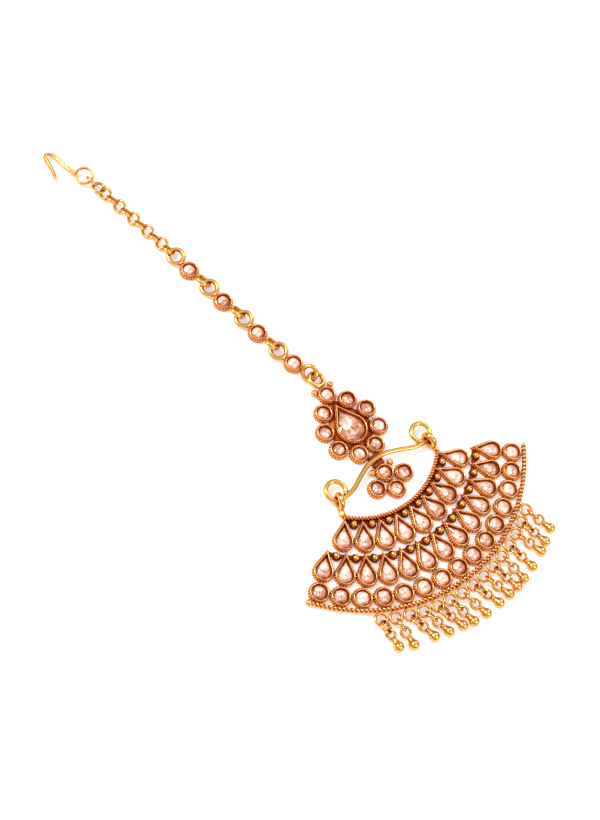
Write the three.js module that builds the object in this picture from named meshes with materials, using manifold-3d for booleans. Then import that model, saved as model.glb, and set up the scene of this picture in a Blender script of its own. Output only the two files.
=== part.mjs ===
// A maang tikka: a forehead jewel that a hook holds in the parting of the hair.
// It lies on its back, as on a tray. Millimetres, +Z up, +Y towards the hook, origin under the middle.
// From the hook down: a cable chain, four stone-set links, a pear pendant with a bow of wire and a flower
// of four stones, and a pierced fan of 37 stones with a fringe of ball drops.

import * as THREE from 'three';
import { mergeVertices } from 'three/addons/utils/BufferGeometryUtils.js';
import Module from 'manifold-3d';

const wasm = await Module();
wasm.setup();

// Gaps and joints
const solderLap = 0.1; // how far two soldered pieces run into each other
const wireGap = 0.22; // free play where one loop passes through another
const slantGap = 0.55; // the same where a thick loop passes through another aslant
const stoneGap = 0.25; // between a loose stone and the walls and floor of its pocket

// Settings: cups of metal strip, each with a stone let into it
const settingHeight = 1.5;
const rimWidth = 0.45;
const girdleDepth = 0.5; // from the rim down to the widest part of a stone
const tableDepth = 0.12; // from the rim down to the flat top of a stone
const crownWidth = 0.8; // from the widest part of a stone in to its flat top
const pocketDepth = 1.0; // from the rim down to the floor that a loose stone lies on
const roundSides = 10;
const pearArcSides = 8;
const largePearArcSides = 12;
const wireSides = 5;
const loopSides = 10;

// The fan: two rows of pears and one of rounds, between two arcs of rope wire
const fanInnerRadius = 20.5; // to the middle of the inner rope
const innerRopeWire = 0.95;
const outerRopeWire = 1.1;
const ropeHeight = 1.0; // of both ropes' middles
const fanPearBulb = 2.52;
const fanPearTip = 5.45; // from the middle of the bulb to the point
const fanRound = 2.47;
const innerPears = 9;
const outerPears = 13;
const fanRounds = 15;
const innerOverhang = 1.6; // degrees that the inner rope runs past its end pears
const outerOverhang = 3.2; // degrees that the outer rope runs past its end rounds
const bandOffset = 1.0; // from the pears' points out to the middle of the flat strip that ties them
const bandWidth = 1.7;
const bandThickness = 0.6;
const bandSteps = 14; // along each arc of a band
const innerRopeSteps = 18;
const outerRopeSteps = 26;

// The pendant: one large pear with nine rounds about it, and a flower of four rounds below
const pendantAcross = 1.1; // from the fan's middle line to the pear's middle
const flowerToRope = 1.125; // from the flower's lowest rim down to the inner rope
const pendantLean = 2.4; // degrees to the right
const pendantPearBulb = 3.95;
const pendantPearTip = 7.2;
const pendantRound = 2.35;
const pearToRoundGap = 0.25;
const tipToRoundGap = 0.4;
const pendantRoundAngles = [28.8, 69.2, 114.6, 158.5]; // from the pear's point, on both sides
const backPlateBulb = 5.2;
const backPlateThickness = 0.5;
const neckWidth = 2.8; // of the bar that carries the bow and the flower
const neckLap = 0.3; // how far that bar runs into the walls at its ends
const flowerDrop = 0.8; // from the bow wire down to the rim of the flower's first round

// The bow wire under the pear, with a loop at each end that the fan hangs from
const bowWire = 0.94;
const bowHeight = 1.8;
const bowDrop = 9.2; // from the pear's middle down to the middle of the bow
const bowHalfSpan = 13.05; // to the middle of each loop
const bowSag = 3.2; // from the middle of the bow down to the foot of each loop
const bowLoopRadius = 2.3;
const bowLoopTurn = 300; // degrees that the wire runs round each loop, from its foot back to the bow
const bowLoopPoints = 6;
const bowSteps = 40;
const bowSweep = [ // across and down, as shares of bowHalfSpan and bowSag
  { across: 0.22, down: 0.08 },
  { across: 0.45, down: 0.42 },
  { across: 0.74, down: 0.92 },
];
const bailRadius = 1.7;
const bailWire = 0.9;
const bailSides = 12;

// Loops and chain
const chainLie = { // how the chain lies, in degrees to the left of the fan's middle line
  stoneLinks: [8.8, 10, 9, 15.5], // from the hook's end down
  cable: 10.4,
  hook: 14,
};
const ringHeight = 1.25; // of the flat rings' middles
const topRingRadius = 1.9;
const topRingTilt = 10;
const ringRadius = 2.0;
const ringTilt = -10;
const sideLoopRadius = 1.82;
const sideLoopTilts = [42, 42, 42, -40]; // from the hook's end down
const jumpWire = 0.82; // of the rings and side loops
const linkRound = 2.4;
const chainRadius = 1.42;
const chainWire = 0.56;
const chainLap = 0.1; // how far each link of the cable chain sinks into the next
const chainTilts = [60, 0, -52, 45, -45, 45, -45, 45, -45, 45, -45, 45]; // from the hook's end down

// The hook: one wire bent double, with its middle opened into a ring
const hookWire = 0.7;
const hookRingRadius = 2.1;
const hookRingTilt = -12;
const hookRingSides = 14;
const hookSteps = 12;
const hookHeight = 1.3; // of the ring's middle
const shankLean = 20; // degrees from side by side to one above the other, of the two wires
const legLean = 85;
const leanFrom = 0.35; // share of the hook's length where that lean starts to change
const leanTo = 0.75;
const hookLength = 10.7; // from the middle of the ring to the top of the bend
const hookWidth = 5.9; // from the middle of the ring across to the tip
const hookPath = [ // across and along, as shares of hookWidth and hookLength
  { across: -0.20, along: 0.17 },
  { across: -0.25, along: 0.36 },
  { across: -0.25, along: 0.58 },
  { across: -0.24, along: 0.80 },
  { across: -0.31, along: 0.94 },
  { across: -0.44, along: 1.00 },
  { across: -0.58, along: 0.95 },
  { across: -0.68, along: 0.79 },
  { across: -0.80, along: 0.58 },
  { across: -0.99, along: 0.37 },
];

// The fringe: rings on the outer rope, each with a link and a ball drop
const fringeRingRadius = 1.35;
const fringeWire = 0.54;
const fringeRingHeight = 1.3;
const fringePitch = 3.37; // from ring to ring, along their arc
const fringeLinkRadius = 1.45;
const dropBall = 1.25;
const dropStem = 2.3; // bare length between the link and the ball
const stemRadius = 0.4;
const dropProfile = [ // across from the axis and up from the ball's middle, as shares of dropBall
  { across: 0, along: -1 },
  { across: 0.78, along: -0.62 },
  { across: 1, along: 0.2 },
];
const fringeStrands = [ // heading from straight down, and how far the link is tipped up, in degrees
  { heading: -6, link: 56 },
  { heading: -5, link: 62 },
  { heading: 11, link: 50 },
  { heading: 13, link: 64 },
  { heading: 15, link: 54 },
  { heading: 10, link: 60 },
  { heading: 12, link: 56 },
  { heading: 18, link: 64 },
  { heading: 17, link: 54 },
  { heading: 12, link: 60 },
  { heading: 6, link: 52 },
  { heading: 9, link: 58 },
  { heading: 18, link: 52 },
  { heading: 13, link: 60 },
  { heading: 15, link: 54 },
];

const gold = new THREE.MeshStandardMaterial({ color: 0xd9934a, roughness: 0.32, metalness: 1 });
const brightGold = new THREE.MeshStandardMaterial({ color: 0xeec069, roughness: 0.26, metalness: 1 });
const champagne = new THREE.MeshStandardMaterial({ color: 0xe9c3b4, roughness: 0.08, metalness: 0 });

const rad = THREE.MathUtils.degToRad;
const up = new THREE.Vector3(0, 0, 1);

// Turning shapes into solids and back

function solidOf(geometry) {
  const bare = geometry.clone();
  bare.deleteAttribute('normal');
  bare.deleteAttribute('uv');
  const merged = mergeVertices(bare, 1e-5);
  return new wasm.Manifold(new wasm.Mesh({
    numProp: 3,
    vertProperties: new Float32Array(merged.attributes.position.array),
    triVerts: new Uint32Array(merged.index.array),
  }));
}

function meshOf(name, solid, material) {
  const { vertProperties, triVerts } = solid.getMesh();
  const geometry = new THREE.BufferGeometry();
  geometry.setAttribute('position', new THREE.BufferAttribute(new Float32Array(vertProperties), 3));
  geometry.setIndex(new THREE.BufferAttribute(new Uint32Array(triVerts), 1));
  geometry.computeVertexNormals();
  const mesh = new THREE.Mesh(geometry, material);
  mesh.name = name;
  return mesh;
}

function joined(geometries) {
  return geometries.map(solidOf).reduce((whole, piece) => whole.add(piece));
}

// Moves a shape: first tipped about its own +Y, then turned about +Z, then shifted.
function placed(geometry, { x = 0, y = 0, z = 0, turn = 0, tilt = 0 }) {
  return geometry.clone().rotateY(rad(tilt)).rotateZ(rad(turn)).translate(x, y, z);
}

// Outlines and lofts

// A pear is a circle with two straight sides that meet in a point on +Y. The sides touch the circle.
function pearOutline(bulb, tip, arcSides) {
  const touch = Math.acos(bulb / tip);
  const step = (2 * Math.PI - 2 * touch) / arcSides;
  const points = [new THREE.Vector2(0, tip)];
  for (let i = 0; i < arcSides; i++) {
    const angle = touch + (i + 0.5) * step;
    const reach = bulb / Math.cos(step / 2);
    points.push(new THREE.Vector2(-Math.sin(angle) * reach, Math.cos(angle) * reach));
  }
  return points;
}

// The distance from the middle of a pear's bulb to its outline, at an angle from its point.
function pearReach(bulb, tip, angle) {
  const touch = Math.acos(bulb / tip);
  return bulb / Math.cos(Math.max(0, touch - Math.abs(angle)));
}

function roundOutline(radius, sides) {
  const step = (2 * Math.PI) / sides;
  const reach = radius / Math.cos(step / 2);
  return Array.from({ length: sides }, (_, i) => new THREE.Vector2(
    Math.cos((i + 0.5) * step) * reach,
    Math.sin((i + 0.5) * step) * reach,
  ));
}

// A closed solid through copies of one outline, each set in from it by a width and at a height.
function loft(outline, radius, levels) {
  const sides = outline.length;
  const last = (levels.length - 1) * sides;
  const position = [];
  const index = [];
  for (const { inset, z } of levels) {
    const share = 1 - inset / radius;
    for (const point of outline) position.push(point.x * share, point.y * share, z);
  }
  for (let start = 0; start < last; start += sides) {
    for (let i = 0; i < sides; i++) {
      const a = start + i;
      const b = start + ((i + 1) % sides);
      index.push(a, b, b + sides, a, b + sides, a + sides);
    }
  }
  for (let i = 1; i < sides - 1; i++) {
    index.push(0, i + 1, i);
    index.push(last, last + i, last + i + 1);
  }
  const geometry = new THREE.BufferGeometry();
  geometry.setAttribute('position', new THREE.Float32BufferAttribute(position, 3));
  geometry.setIndex(index);
  return geometry;
}

// A setting with its stone fused in: wall, sloping rim, then the stone's crown and table.
function filledSetting(outline, radius) {
  return loft(outline, radius, [
    { inset: 0, z: 0 },
    { inset: 0, z: settingHeight },
    { inset: rimWidth, z: settingHeight - girdleDepth },
    { inset: rimWidth + crownWidth, z: settingHeight - tableDepth },
  ]);
}

// An open setting, for a stone of its own.
function openSetting(outline, radius) {
  return loft(outline, radius, [
    { inset: 0, z: 0 },
    { inset: 0, z: settingHeight },
    { inset: rimWidth, z: settingHeight },
    { inset: rimWidth, z: settingHeight - pocketDepth },
  ]);
}

// A flat-backed cut stone for an open setting.
function cutStone(outline, radius) {
  const edge = rimWidth + stoneGap;
  return loft(outline, radius, [
    { inset: edge, z: settingHeight - pocketDepth + stoneGap },
    { inset: edge, z: settingHeight - girdleDepth },
    { inset: edge + crownWidth, z: settingHeight - tableDepth },
  ]);
}

// Wires and loops

function loop(radius, wire, sides = loopSides) {
  return new THREE.TorusGeometry(radius, wire / 2, wireSides, sides);
}

// The smallest radius of the hole in a loop, whose facets cut inside its true circle.
function holeRadius(radius, wire, sides = loopSides) {
  return radius * Math.cos(Math.PI / sides) - wire / 2;
}

// The distance between two loops that pull on each other, with their free play.
function pulledApart(radius, wire, otherRadius, otherWire, play = wireGap) {
  return holeRadius(radius, wire) + holeRadius(otherRadius, otherWire) - play;
}

function wireAlong(path, wire, steps) {
  const section = new THREE.Shape(roundOutline(wire / 2, wireSides));
  return new THREE.ExtrudeGeometry(section, { steps, extrudePath: path });
}

// An arc about the middle of the fan, from one angle to another off the -Y axis.
class FanArc extends THREE.Curve {
  constructor(radius, from, to, height) {
    super();
    Object.assign(this, { radius, from, to, height });
  }

  getPoint(t, target = new THREE.Vector3()) {
    const angle = THREE.MathUtils.lerp(this.from, this.to, t);
    return target.set(this.radius * Math.sin(angle), -this.radius * Math.cos(angle), this.height);
  }
}

// The fan's rows, each worked out from the one inside it

function pitchAngle(width, radius) {
  return 2 * Math.asin((width - solderLap) / 2 / radius);
}

function rowAngles(count, pitch) {
  return Array.from({ length: count }, (_, i) => (i - (count - 1) / 2) * pitch);
}

const innerTipRadius = fanInnerRadius + innerRopeWire / 2 - solderLap;
const innerRowRadius = innerTipRadius + fanPearTip;
const outerTipRadius = innerRowRadius + fanPearBulb - solderLap;
const outerRowRadius = outerTipRadius + fanPearTip;
const roundRowRadius = outerRowRadius + fanPearBulb + fanRound - solderLap;
const outerRopeRadius = roundRowRadius + fanRound + outerRopeWire / 2 - solderLap;
const innerPitch = pitchAngle(2 * fanPearBulb, innerRowRadius);
const outerPitch = pitchAngle(2 * fanPearBulb, outerRowRadius);
const roundPitch = pitchAngle(2 * fanRound, roundRowRadius);
const innerHalfAngle = ((innerPears - 1) / 2) * innerPitch + rad(innerOverhang);
const outerHalfAngle = ((fanRounds - 1) / 2) * roundPitch + rad(outerOverhang);
const fringeRadius = outerRopeRadius + outerRopeWire / 2 + fringeRingRadius + fringeWire / 2 - solderLap;

function onFan(radius, angle, z = 0) {
  const turn = THREE.MathUtils.radToDeg(angle);
  return { x: radius * Math.sin(angle), y: -radius * Math.cos(angle), z, turn };
}

function rowOfSettings(count, pitch, radius, outline, size) {
  return rowAngles(count, pitch).map((angle) => placed(filledSetting(outline, size), onFan(radius, angle)));
}

function flatBand(radius, halfAngle) {
  const shape = new THREE.Shape();
  const [from, to] = [-Math.PI / 2 - halfAngle, -Math.PI / 2 + halfAngle];
  shape.absarc(0, 0, radius + bandWidth / 2, from, to, false);
  shape.absarc(0, 0, radius - bandWidth / 2, to, from, true);
  return new THREE.ExtrudeGeometry(shape, {
    depth: bandThickness,
    bevelEnabled: false,
    curveSegments: bandSteps,
  });
}

// Where the pendant and the fan meet: the flower hangs clear inside the inner rope

const topRoundAt = pendantPearTip + tipToRoundGap + pendantRound;
const topRingAt = topRoundAt + pendantRound + topRingRadius + jumpWire / 2 - 3 * solderLap;
const flowerPitch = 2 * pendantRound - solderLap;
const flowerMiddle = -bowDrop - bowWire / 2 - flowerDrop - pendantRound - flowerPitch / 2;
const flowerFoot = flowerMiddle - flowerPitch / 2 - pendantRound;
const ropeFoot = -fanInnerRadius + innerRopeWire / 2;
const pendantPlace = new THREE.Vector2(pendantAcross, ropeFoot + flowerToRope - flowerFoot);
const bowMiddle = new THREE.Vector2(0, -bowDrop)
  .rotateAround(new THREE.Vector2(), -rad(pendantLean))
  .add(pendantPlace);

// The corner of the fan on one side, where its inner rope ends.
function fanCorner(side) {
  const { x, y } = onFan(fanInnerRadius, side * innerHalfAngle);
  return new THREE.Vector2(x, y);
}

const bailHeight = bailRadius + bailWire / 2;

// How far the middle of a bail lies beyond the bow wire that hangs in it, both with their free play.
const bailReach = Math.sqrt(
  (holeRadius(bailRadius, bailWire, bailSides) - bowWire / 2 - wireGap) ** 2 - (bailHeight - bowHeight) ** 2,
);

// A bail that stands on its edge, and the short post that carries it on the end of the inner rope.
function bail(side) {
  const corner = fanCorner(side);
  const bowLoop = bowMiddle.clone().add(new THREE.Vector2(side * bowHalfSpan, bowLoopRadius - bowSag));
  const away = corner.clone().sub(bowLoop).normalize();
  const middle = bowLoop.clone().addScaledVector(away, bowLoopRadius + bailReach);
  const turn = THREE.MathUtils.radToDeg(Math.atan2(-away.x, away.y));
  const ring = placed(
    loop(bailRadius, bailWire, bailSides),
    { x: middle.x, y: middle.y, z: bailHeight, turn, tilt: 90 },
  );
  const foot = middle.clone().addScaledVector(away, bailRadius * Math.SQRT1_2);
  const post = wireAlong(new THREE.LineCurve3(
    new THREE.Vector3(foot.x, foot.y, bailHeight - bailRadius * Math.SQRT1_2),
    new THREE.Vector3(corner.x, corner.y, ropeHeight),
  ), bailWire, 1);
  return [ring, post];
}

function fan() {
  const pear = pearOutline(fanPearBulb, fanPearTip, pearArcSides);
  const round = roundOutline(fanRound, roundSides);
  const innerRope = new FanArc(fanInnerRadius, -innerHalfAngle, innerHalfAngle, ropeHeight);
  const outerRope = new FanArc(outerRopeRadius, -outerHalfAngle, outerHalfAngle, ropeHeight);
  const ring = loop(fringeRingRadius, fringeWire);
  return joined([
    ...rowOfSettings(innerPears, innerPitch, innerRowRadius, pear, fanPearBulb),
    ...rowOfSettings(outerPears, outerPitch, outerRowRadius, pear, fanPearBulb),
    ...rowOfSettings(fanRounds, roundPitch, roundRowRadius, round, fanRound),
    flatBand(innerTipRadius + bandOffset, ((innerPears - 1) / 2) * innerPitch),
    flatBand(outerTipRadius + bandOffset, ((outerPears - 1) / 2) * outerPitch),
    wireAlong(innerRope, innerRopeWire, innerRopeSteps),
    wireAlong(outerRope, outerRopeWire, outerRopeSteps),
    ...fringeAngles().map((angle) => placed(ring, onFan(fringeRadius, angle, fringeRingHeight))),
    ...bail(-1),
    ...bail(1),
  ]);
}

// The fringe

function fringeAngles() {
  return rowAngles(fringeStrands.length, fringePitch / fringeRadius);
}

// A link and a ball drop, hanging from a ring at the origin along -Y.
function fringeStrand(linkTilt) {
  const linkHeight = Math.max(dropBall, fringeLinkRadius * Math.sin(rad(linkTilt)) + fringeWire / 2);
  const linkAt = -pulledApart(fringeRingRadius, fringeWire, fringeLinkRadius, fringeWire);
  const stemTop = linkAt - fringeLinkRadius + fringeWire / 4;
  const ballAt = linkAt - fringeLinkRadius - dropStem - dropBall;
  const profile = [
    ...dropProfile.map((point) => new THREE.Vector2(
      point.across * dropBall,
      ballAt + point.along * dropBall,
    )),
    new THREE.Vector2(stemRadius, ballAt + dropBall),
    new THREE.Vector2(stemRadius, stemTop),
    new THREE.Vector2(0, stemTop),
  ];
  return joined([
    placed(loop(fringeLinkRadius, fringeWire), { y: linkAt, z: linkHeight, tilt: linkTilt }),
    new THREE.LatheGeometry(profile, roundSides).translate(0, 0, dropBall),
  ]);
}

function fringe() {
  const angles = fringeAngles();
  return fringeStrands.map((strand, i) => {
    const name = `fringe_drop_${String(i + 1).padStart(2, '0')}`;
    const mesh = meshOf(name, fringeStrand(strand.link), brightGold);
    const { x, y } = onFan(fringeRadius, angles[i]);
    mesh.position.set(x, y, 0);
    mesh.rotation.z = rad(strand.heading);
    return mesh;
  });
}

// The pendant

// The middles of the rounds about the pear: one over its point, then pairs down both sides.
function pendantRounds() {
  const bulb = pendantPearBulb + pearToRoundGap + pendantRound;
  const tip = bulb * (pendantPearTip / pendantPearBulb);
  const pairs = pendantRoundAngles.flatMap((degrees) => [-1, 1].map((side) => {
    const reach = pearReach(bulb, tip, rad(degrees));
    return { x: side * reach * Math.sin(rad(degrees)), y: reach * Math.cos(rad(degrees)) };
  }));
  return [{ x: 0, y: topRoundAt }, ...pairs];
}

// Four rounds that touch, with the middle two nose to nose along the pendant's length.
function flowerRounds() {
  const across = flowerPitch * Math.sin(rad(60));
  return [
    { x: 0, y: flowerMiddle + flowerPitch / 2 },
    { x: -across, y: flowerMiddle },
    { x: across, y: flowerMiddle },
    { x: 0, y: flowerMiddle - flowerPitch / 2 },
  ];
}

// The bow wire in one piece: loop, sweep across, loop. Drawn square to the fan, from the bow's middle.
function bowCurve() {
  const half = bowSweep.map(({ across, down }) => new THREE.Vector3(
    across * bowHalfSpan,
    -down * bowSag,
    0,
  ));
  for (let i = 0; i <= bowLoopPoints; i++) {
    const turn = rad((i / bowLoopPoints) * bowLoopTurn - 90);
    half.push(new THREE.Vector3(
      bowHalfSpan + bowLoopRadius * Math.cos(turn),
      bowLoopRadius - bowSag + bowLoopRadius * Math.sin(turn),
      0,
    ));
  }
  const mirrored = half.map((p) => new THREE.Vector3(-p.x, p.y, 0)).reverse();
  return new THREE.CatmullRomCurve3([...mirrored, new THREE.Vector3(), ...half]);
}

// The bar under the bow, from below the pear to the flower.
function bowNeck() {
  const lastRound = pendantRounds().at(-1);
  const top = lastRound.y + neckLap - Math.sqrt(pendantRound ** 2 - (lastRound.x - neckWidth / 2) ** 2);
  const foot = flowerRounds()[0].y + pendantRound - neckLap;
  const shape = new THREE.Shape([
    new THREE.Vector2(-neckWidth / 2, foot),
    new THREE.Vector2(neckWidth / 2, foot),
    new THREE.Vector2(neckWidth / 2, top),
    new THREE.Vector2(-neckWidth / 2, top),
  ]);
  const depth = bowHeight - bowWire / 2 + solderLap;
  return new THREE.ExtrudeGeometry(shape, { depth, bevelEnabled: false });
}

function pendantFrame() {
  const round = roundOutline(pendantRound, roundSides);
  const pear = pearOutline(pendantPearBulb, pendantPearTip, largePearArcSides);
  const backTip = backPlateBulb * (pendantPearTip / pendantPearBulb);
  const back = pearOutline(backPlateBulb, backTip, pearArcSides);
  const settings = [...pendantRounds(), ...flowerRounds()];
  return joined([
    openSetting(pear, pendantPearBulb),
    ...settings.map((place) => placed(openSetting(round, pendantRound), place)),
    loft(back, backPlateBulb, [{ inset: 0, z: 0 }, { inset: 0, z: backPlateThickness }]),
    placed(loop(topRingRadius, jumpWire), { y: topRingAt, z: ringHeight, tilt: topRingTilt }),
    bowNeck(),
    wireAlong(bowCurve(), bowWire, bowSteps)
      .rotateZ(rad(pendantLean))
      .translate(0, -bowDrop, bowHeight),
  ]);
}

function pendant() {
  const group = new THREE.Group();
  group.position.set(pendantPlace.x, pendantPlace.y, 0);
  group.rotation.z = -rad(pendantLean);
  group.add(meshOf('pendant_frame', pendantFrame(), gold));
  const pear = pearOutline(pendantPearBulb, pendantPearTip, largePearArcSides);
  group.add(meshOf('pendant_pear_stone', solidOf(cutStone(pear, pendantPearBulb)), champagne));
  const stone = solidOf(cutStone(roundOutline(pendantRound, roundSides), pendantRound));
  const addStones = (name, places) => places.forEach((place, i) => {
    const mesh = meshOf(`${name}_${i + 1}`, stone, champagne);
    mesh.position.set(place.x, place.y, 0);
    group.add(mesh);
  });
  addStones('pendant_stone', pendantRounds());
  addStones('flower_stone', flowerRounds());
  return group;
}

// The chain, along +Y from the pendant's top ring

const linkRingAt = linkRound + ringRadius + jumpWire / 2 - 2 * solderLap; // from the setting's middle
const sideLoopAt = linkRound + sideLoopRadius + jumpWire / 2 - 2 * solderLap;
const chainPitch = 2 * (holeRadius(chainRadius, chainWire) + chainLap);

// One setting with a ring above it, towards the hook, and a side loop below.
function stoneLink(sideLoopTilt) {
  const loopHeight = sideLoopRadius * Math.sin(rad(Math.abs(sideLoopTilt))) + jumpWire / 2;
  return joined([
    openSetting(roundOutline(linkRound, roundSides), linkRound),
    placed(loop(ringRadius, jumpWire), { y: linkRingAt, z: ringHeight, tilt: ringTilt }),
    placed(loop(sideLoopRadius, jumpWire), { y: -sideLoopAt, z: loopHeight, tilt: sideLoopTilt }),
  ]);
}

// Links in a row along +Y from the first, each sunk a little into the next.
function cableChain() {
  const links = chainTilts.map((tilt, i) => {
    const standing = chainRadius * Math.sin(rad(Math.abs(tilt))) + chainWire / 2;
    const y = (chainTilts.length - 1 - i) * chainPitch;
    return placed(loop(chainRadius, chainWire), { y, z: Math.max(ringHeight, standing), tilt });
  });
  return joined(links);
}

// Two wires side by side along the hook's path, and the ring that they come from.
function hairHook() {
  const line = new THREE.CatmullRomCurve3(hookPath.map(({ across, along }) => new THREE.Vector3(
    across * hookWidth,
    along * hookLength,
    0,
  )));
  const sideWire = (side) => {
    const points = Array.from({ length: hookSteps + 1 }, (_, i) => {
      const t = i / hookSteps;
      const across = new THREE.Vector3().crossVectors(up, line.getTangent(t));
      const share = THREE.MathUtils.smoothstep(t, leanFrom, leanTo);
      const lean = rad(THREE.MathUtils.lerp(shankLean, legLean, share));
      const offset = across.multiplyScalar(Math.cos(lean)).addScaledVector(up, Math.sin(lean));
      return line.getPoint(t).addScaledVector(offset, side * (hookWire - solderLap) / 2);
    });
    return wireAlong(new THREE.CatmullRomCurve3(points), hookWire, hookSteps);
  };
  return joined([
    placed(loop(hookRingRadius, hookWire, hookRingSides), { tilt: hookRingTilt }),
    sideWire(-1),
    sideWire(1),
  ]);
}

// A place that moves on by a distance, in a direction in degrees to the left of +Y.
function onward(place, distance, heading) {
  return place.clone().add(new THREE.Vector2(0, distance).rotateAround(new THREE.Vector2(), rad(heading)));
}

function setDown(mesh, place, z, heading) {
  mesh.position.set(place.x, place.y, z);
  mesh.rotation.z = rad(heading);
  return mesh;
}

// The chain, laid out from the pendant's top ring upwards.
function chain() {
  const pieces = [];
  const stone = solidOf(cutStone(roundOutline(linkRound, roundSides), linkRound));
  let ring = onward(pendantPlace, topRingAt, -pendantLean);
  let lastRadius = topRingRadius;
  for (let i = sideLoopTilts.length - 1; i >= 0; i--) {
    const heading = chainLie.stoneLinks[i];
    const pull = pulledApart(lastRadius, jumpWire, sideLoopRadius, jumpWire, slantGap);
    const place = onward(ring, pull + sideLoopAt, heading);
    const setting = meshOf(`stone_link_${i + 1}`, stoneLink(sideLoopTilts[i]), gold);
    const gem = meshOf(`link_stone_${i + 1}`, stone, champagne);
    pieces.push(setDown(setting, place, 0, heading), setDown(gem, place, 0, heading));
    ring = onward(place, linkRingAt, heading);
    lastRadius = ringRadius;
  }
  const lowestLink = onward(ring, pulledApart(lastRadius, jumpWire, chainRadius, chainWire), chainLie.cable);
  pieces.push(setDown(meshOf('cable_chain', cableChain(), brightGold), lowestLink, 0, chainLie.cable));
  const highestLink = onward(lowestLink, (chainTilts.length - 1) * chainPitch, chainLie.cable);
  const hookRing = onward(
    highestLink,
    pulledApart(chainRadius, chainWire, hookRingRadius, hookWire),
    chainLie.hook,
  );
  pieces.push(setDown(meshOf('hair_hook', hairHook(), brightGold), hookRing, hookHeight, chainLie.cable));
  return pieces;
}

const tikka = new THREE.Group();
tikka.add(meshOf('fan', fan(), gold), ...fringe(), pendant(), ...chain());

// The origin goes under the middle of the whole.
tikka.updateMatrixWorld(true);
const box = new THREE.Box3().setFromObject(tikka, true);
const middle = box.getCenter(new THREE.Vector3());
tikka.position.set(-middle.x, -middle.y, -box.min.z);

export default tikka;
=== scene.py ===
"""A maang tikka of antique gold and champagne stones, laid on its back on a pale table.

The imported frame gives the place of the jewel. Each metal piece and stone is made here around it, with the
milling, twisted wire, grains, eyes and facets that the plain solids leave out.
"""

import math

import bmesh
import bpy
from bpy.props import FloatProperty, FloatVectorProperty, IntProperty, PointerProperty
from mathutils import Euler, Matrix, Vector


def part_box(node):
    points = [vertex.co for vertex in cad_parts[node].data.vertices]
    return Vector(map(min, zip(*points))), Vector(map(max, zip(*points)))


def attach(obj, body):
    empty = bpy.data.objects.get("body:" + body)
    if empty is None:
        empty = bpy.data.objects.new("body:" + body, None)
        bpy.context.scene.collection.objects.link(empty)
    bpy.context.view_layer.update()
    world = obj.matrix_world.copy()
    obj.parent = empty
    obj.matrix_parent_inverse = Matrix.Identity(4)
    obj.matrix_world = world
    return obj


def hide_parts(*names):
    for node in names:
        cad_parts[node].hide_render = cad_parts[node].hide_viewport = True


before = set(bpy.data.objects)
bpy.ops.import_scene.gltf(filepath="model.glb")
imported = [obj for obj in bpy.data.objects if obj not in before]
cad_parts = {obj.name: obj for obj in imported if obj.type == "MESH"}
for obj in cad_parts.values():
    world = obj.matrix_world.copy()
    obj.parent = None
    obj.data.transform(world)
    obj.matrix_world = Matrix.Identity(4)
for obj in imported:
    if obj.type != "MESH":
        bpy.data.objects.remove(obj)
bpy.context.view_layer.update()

bl_info = {
    "name": "Maang tikka",
    "version": (1, 0, 0),
    "blender": (4, 5, 0),
    "location": "View3D > Sidebar > Tikka",
    "description": "Builds a maang tikka of set stones, twisted wire and ball drops over its frame",
    "category": "Object",
}

BODY = "root"
MM = 0.001

# Lists that shape the jewel

BOW_SWEEP = [(0.22, 0.08), (0.45, 0.42), (0.74, 0.92)]  # across and down, as shares of half span and sag
PENDANT_ROUND_ANGLES = [28.8, 69.2, 114.6, 158.5]  # degrees from the pear's point, on both sides
SIDE_LOOP_TILTS = [42, 42, 42, -40]  # degrees, from the hook's end down
STONE_LINK_HEADINGS = [8.8, 10, 9, 15.5]  # degrees to the left, from the hook's end down
CHAIN_TILTS = [60, 0, -52, 45, -45, 45, -45, 45, -45, 45, -45, 45]  # degrees, from the hook's end down
HOOK_PATH = [  # across and along, as shares of the hook's width and length
    (-0.20, 0.17), (-0.25, 0.36), (-0.25, 0.58), (-0.24, 0.80), (-0.31, 0.94),
    (-0.44, 1.00), (-0.58, 0.95), (-0.68, 0.79), (-0.80, 0.58), (-0.99, 0.37),
]
FRINGE_STRANDS = [  # heading from straight down and tip of the link, in degrees
    (-6, 40), (-5, 66), (11, 42), (13, 60), (15, 38), (10, 54), (12, 66), (18, 40),
    (17, 58), (12, 42), (6, 64), (9, 40), (18, 56), (13, 40), (15, 62),
]

LIGHTS = [  # name, place and side of the square in metres, power in watts
    ("key", (-0.25, 0.35, 0.55), 0.2, 2.6),
    ("fill", (0.5, 0.05, 0.45), 0.3, 0.8),
    ("rim", (0.1, -0.5, 0.35), 0.2, 0.8),
]
ROOM_LIGHT = [(0.0, 0.12), (0.32, 0.35), (0.58, 1.0), (1.0, 1.0)]  # share of the way up, and brightness there

# How finely the pieces are rounded

FRAME_LOOP_SIDES = 10  # of the plain frame's rings and links
FRAME_BAIL_SIDES = 12
JUMP_SIDES = (36, 12)  # round a ring, and round its wire
BAIL_SIDES = (36, 14)
FRINGE_SIDES = (28, 8)
EYE_SIDES = (24, 8)
CABLE_SIDES = (30, 10)
HOOK_SIDES = (40, 12)
WIRE_SIDES = 14
ROPE_SIDES = 20
GRAIN_SIDES = 14
BALL_SIDES = 28
PLATE_SIDES = 96
TOOTH_SAMPLES = 4  # points on each tooth of the milled strip
TWIST_STEPS = 12  # along each full twist of a rope
BAND_STEP = 1.0 * MM
BOW_LOOP_STEPS = 12  # along each loop of the bow
BOW_STEPS = 8  # between two points of the bow wire
HOOK_STEPS = 5  # between two points of the hook
POST_STEPS = 6  # along each bail's post

# Small fits and shades

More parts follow.
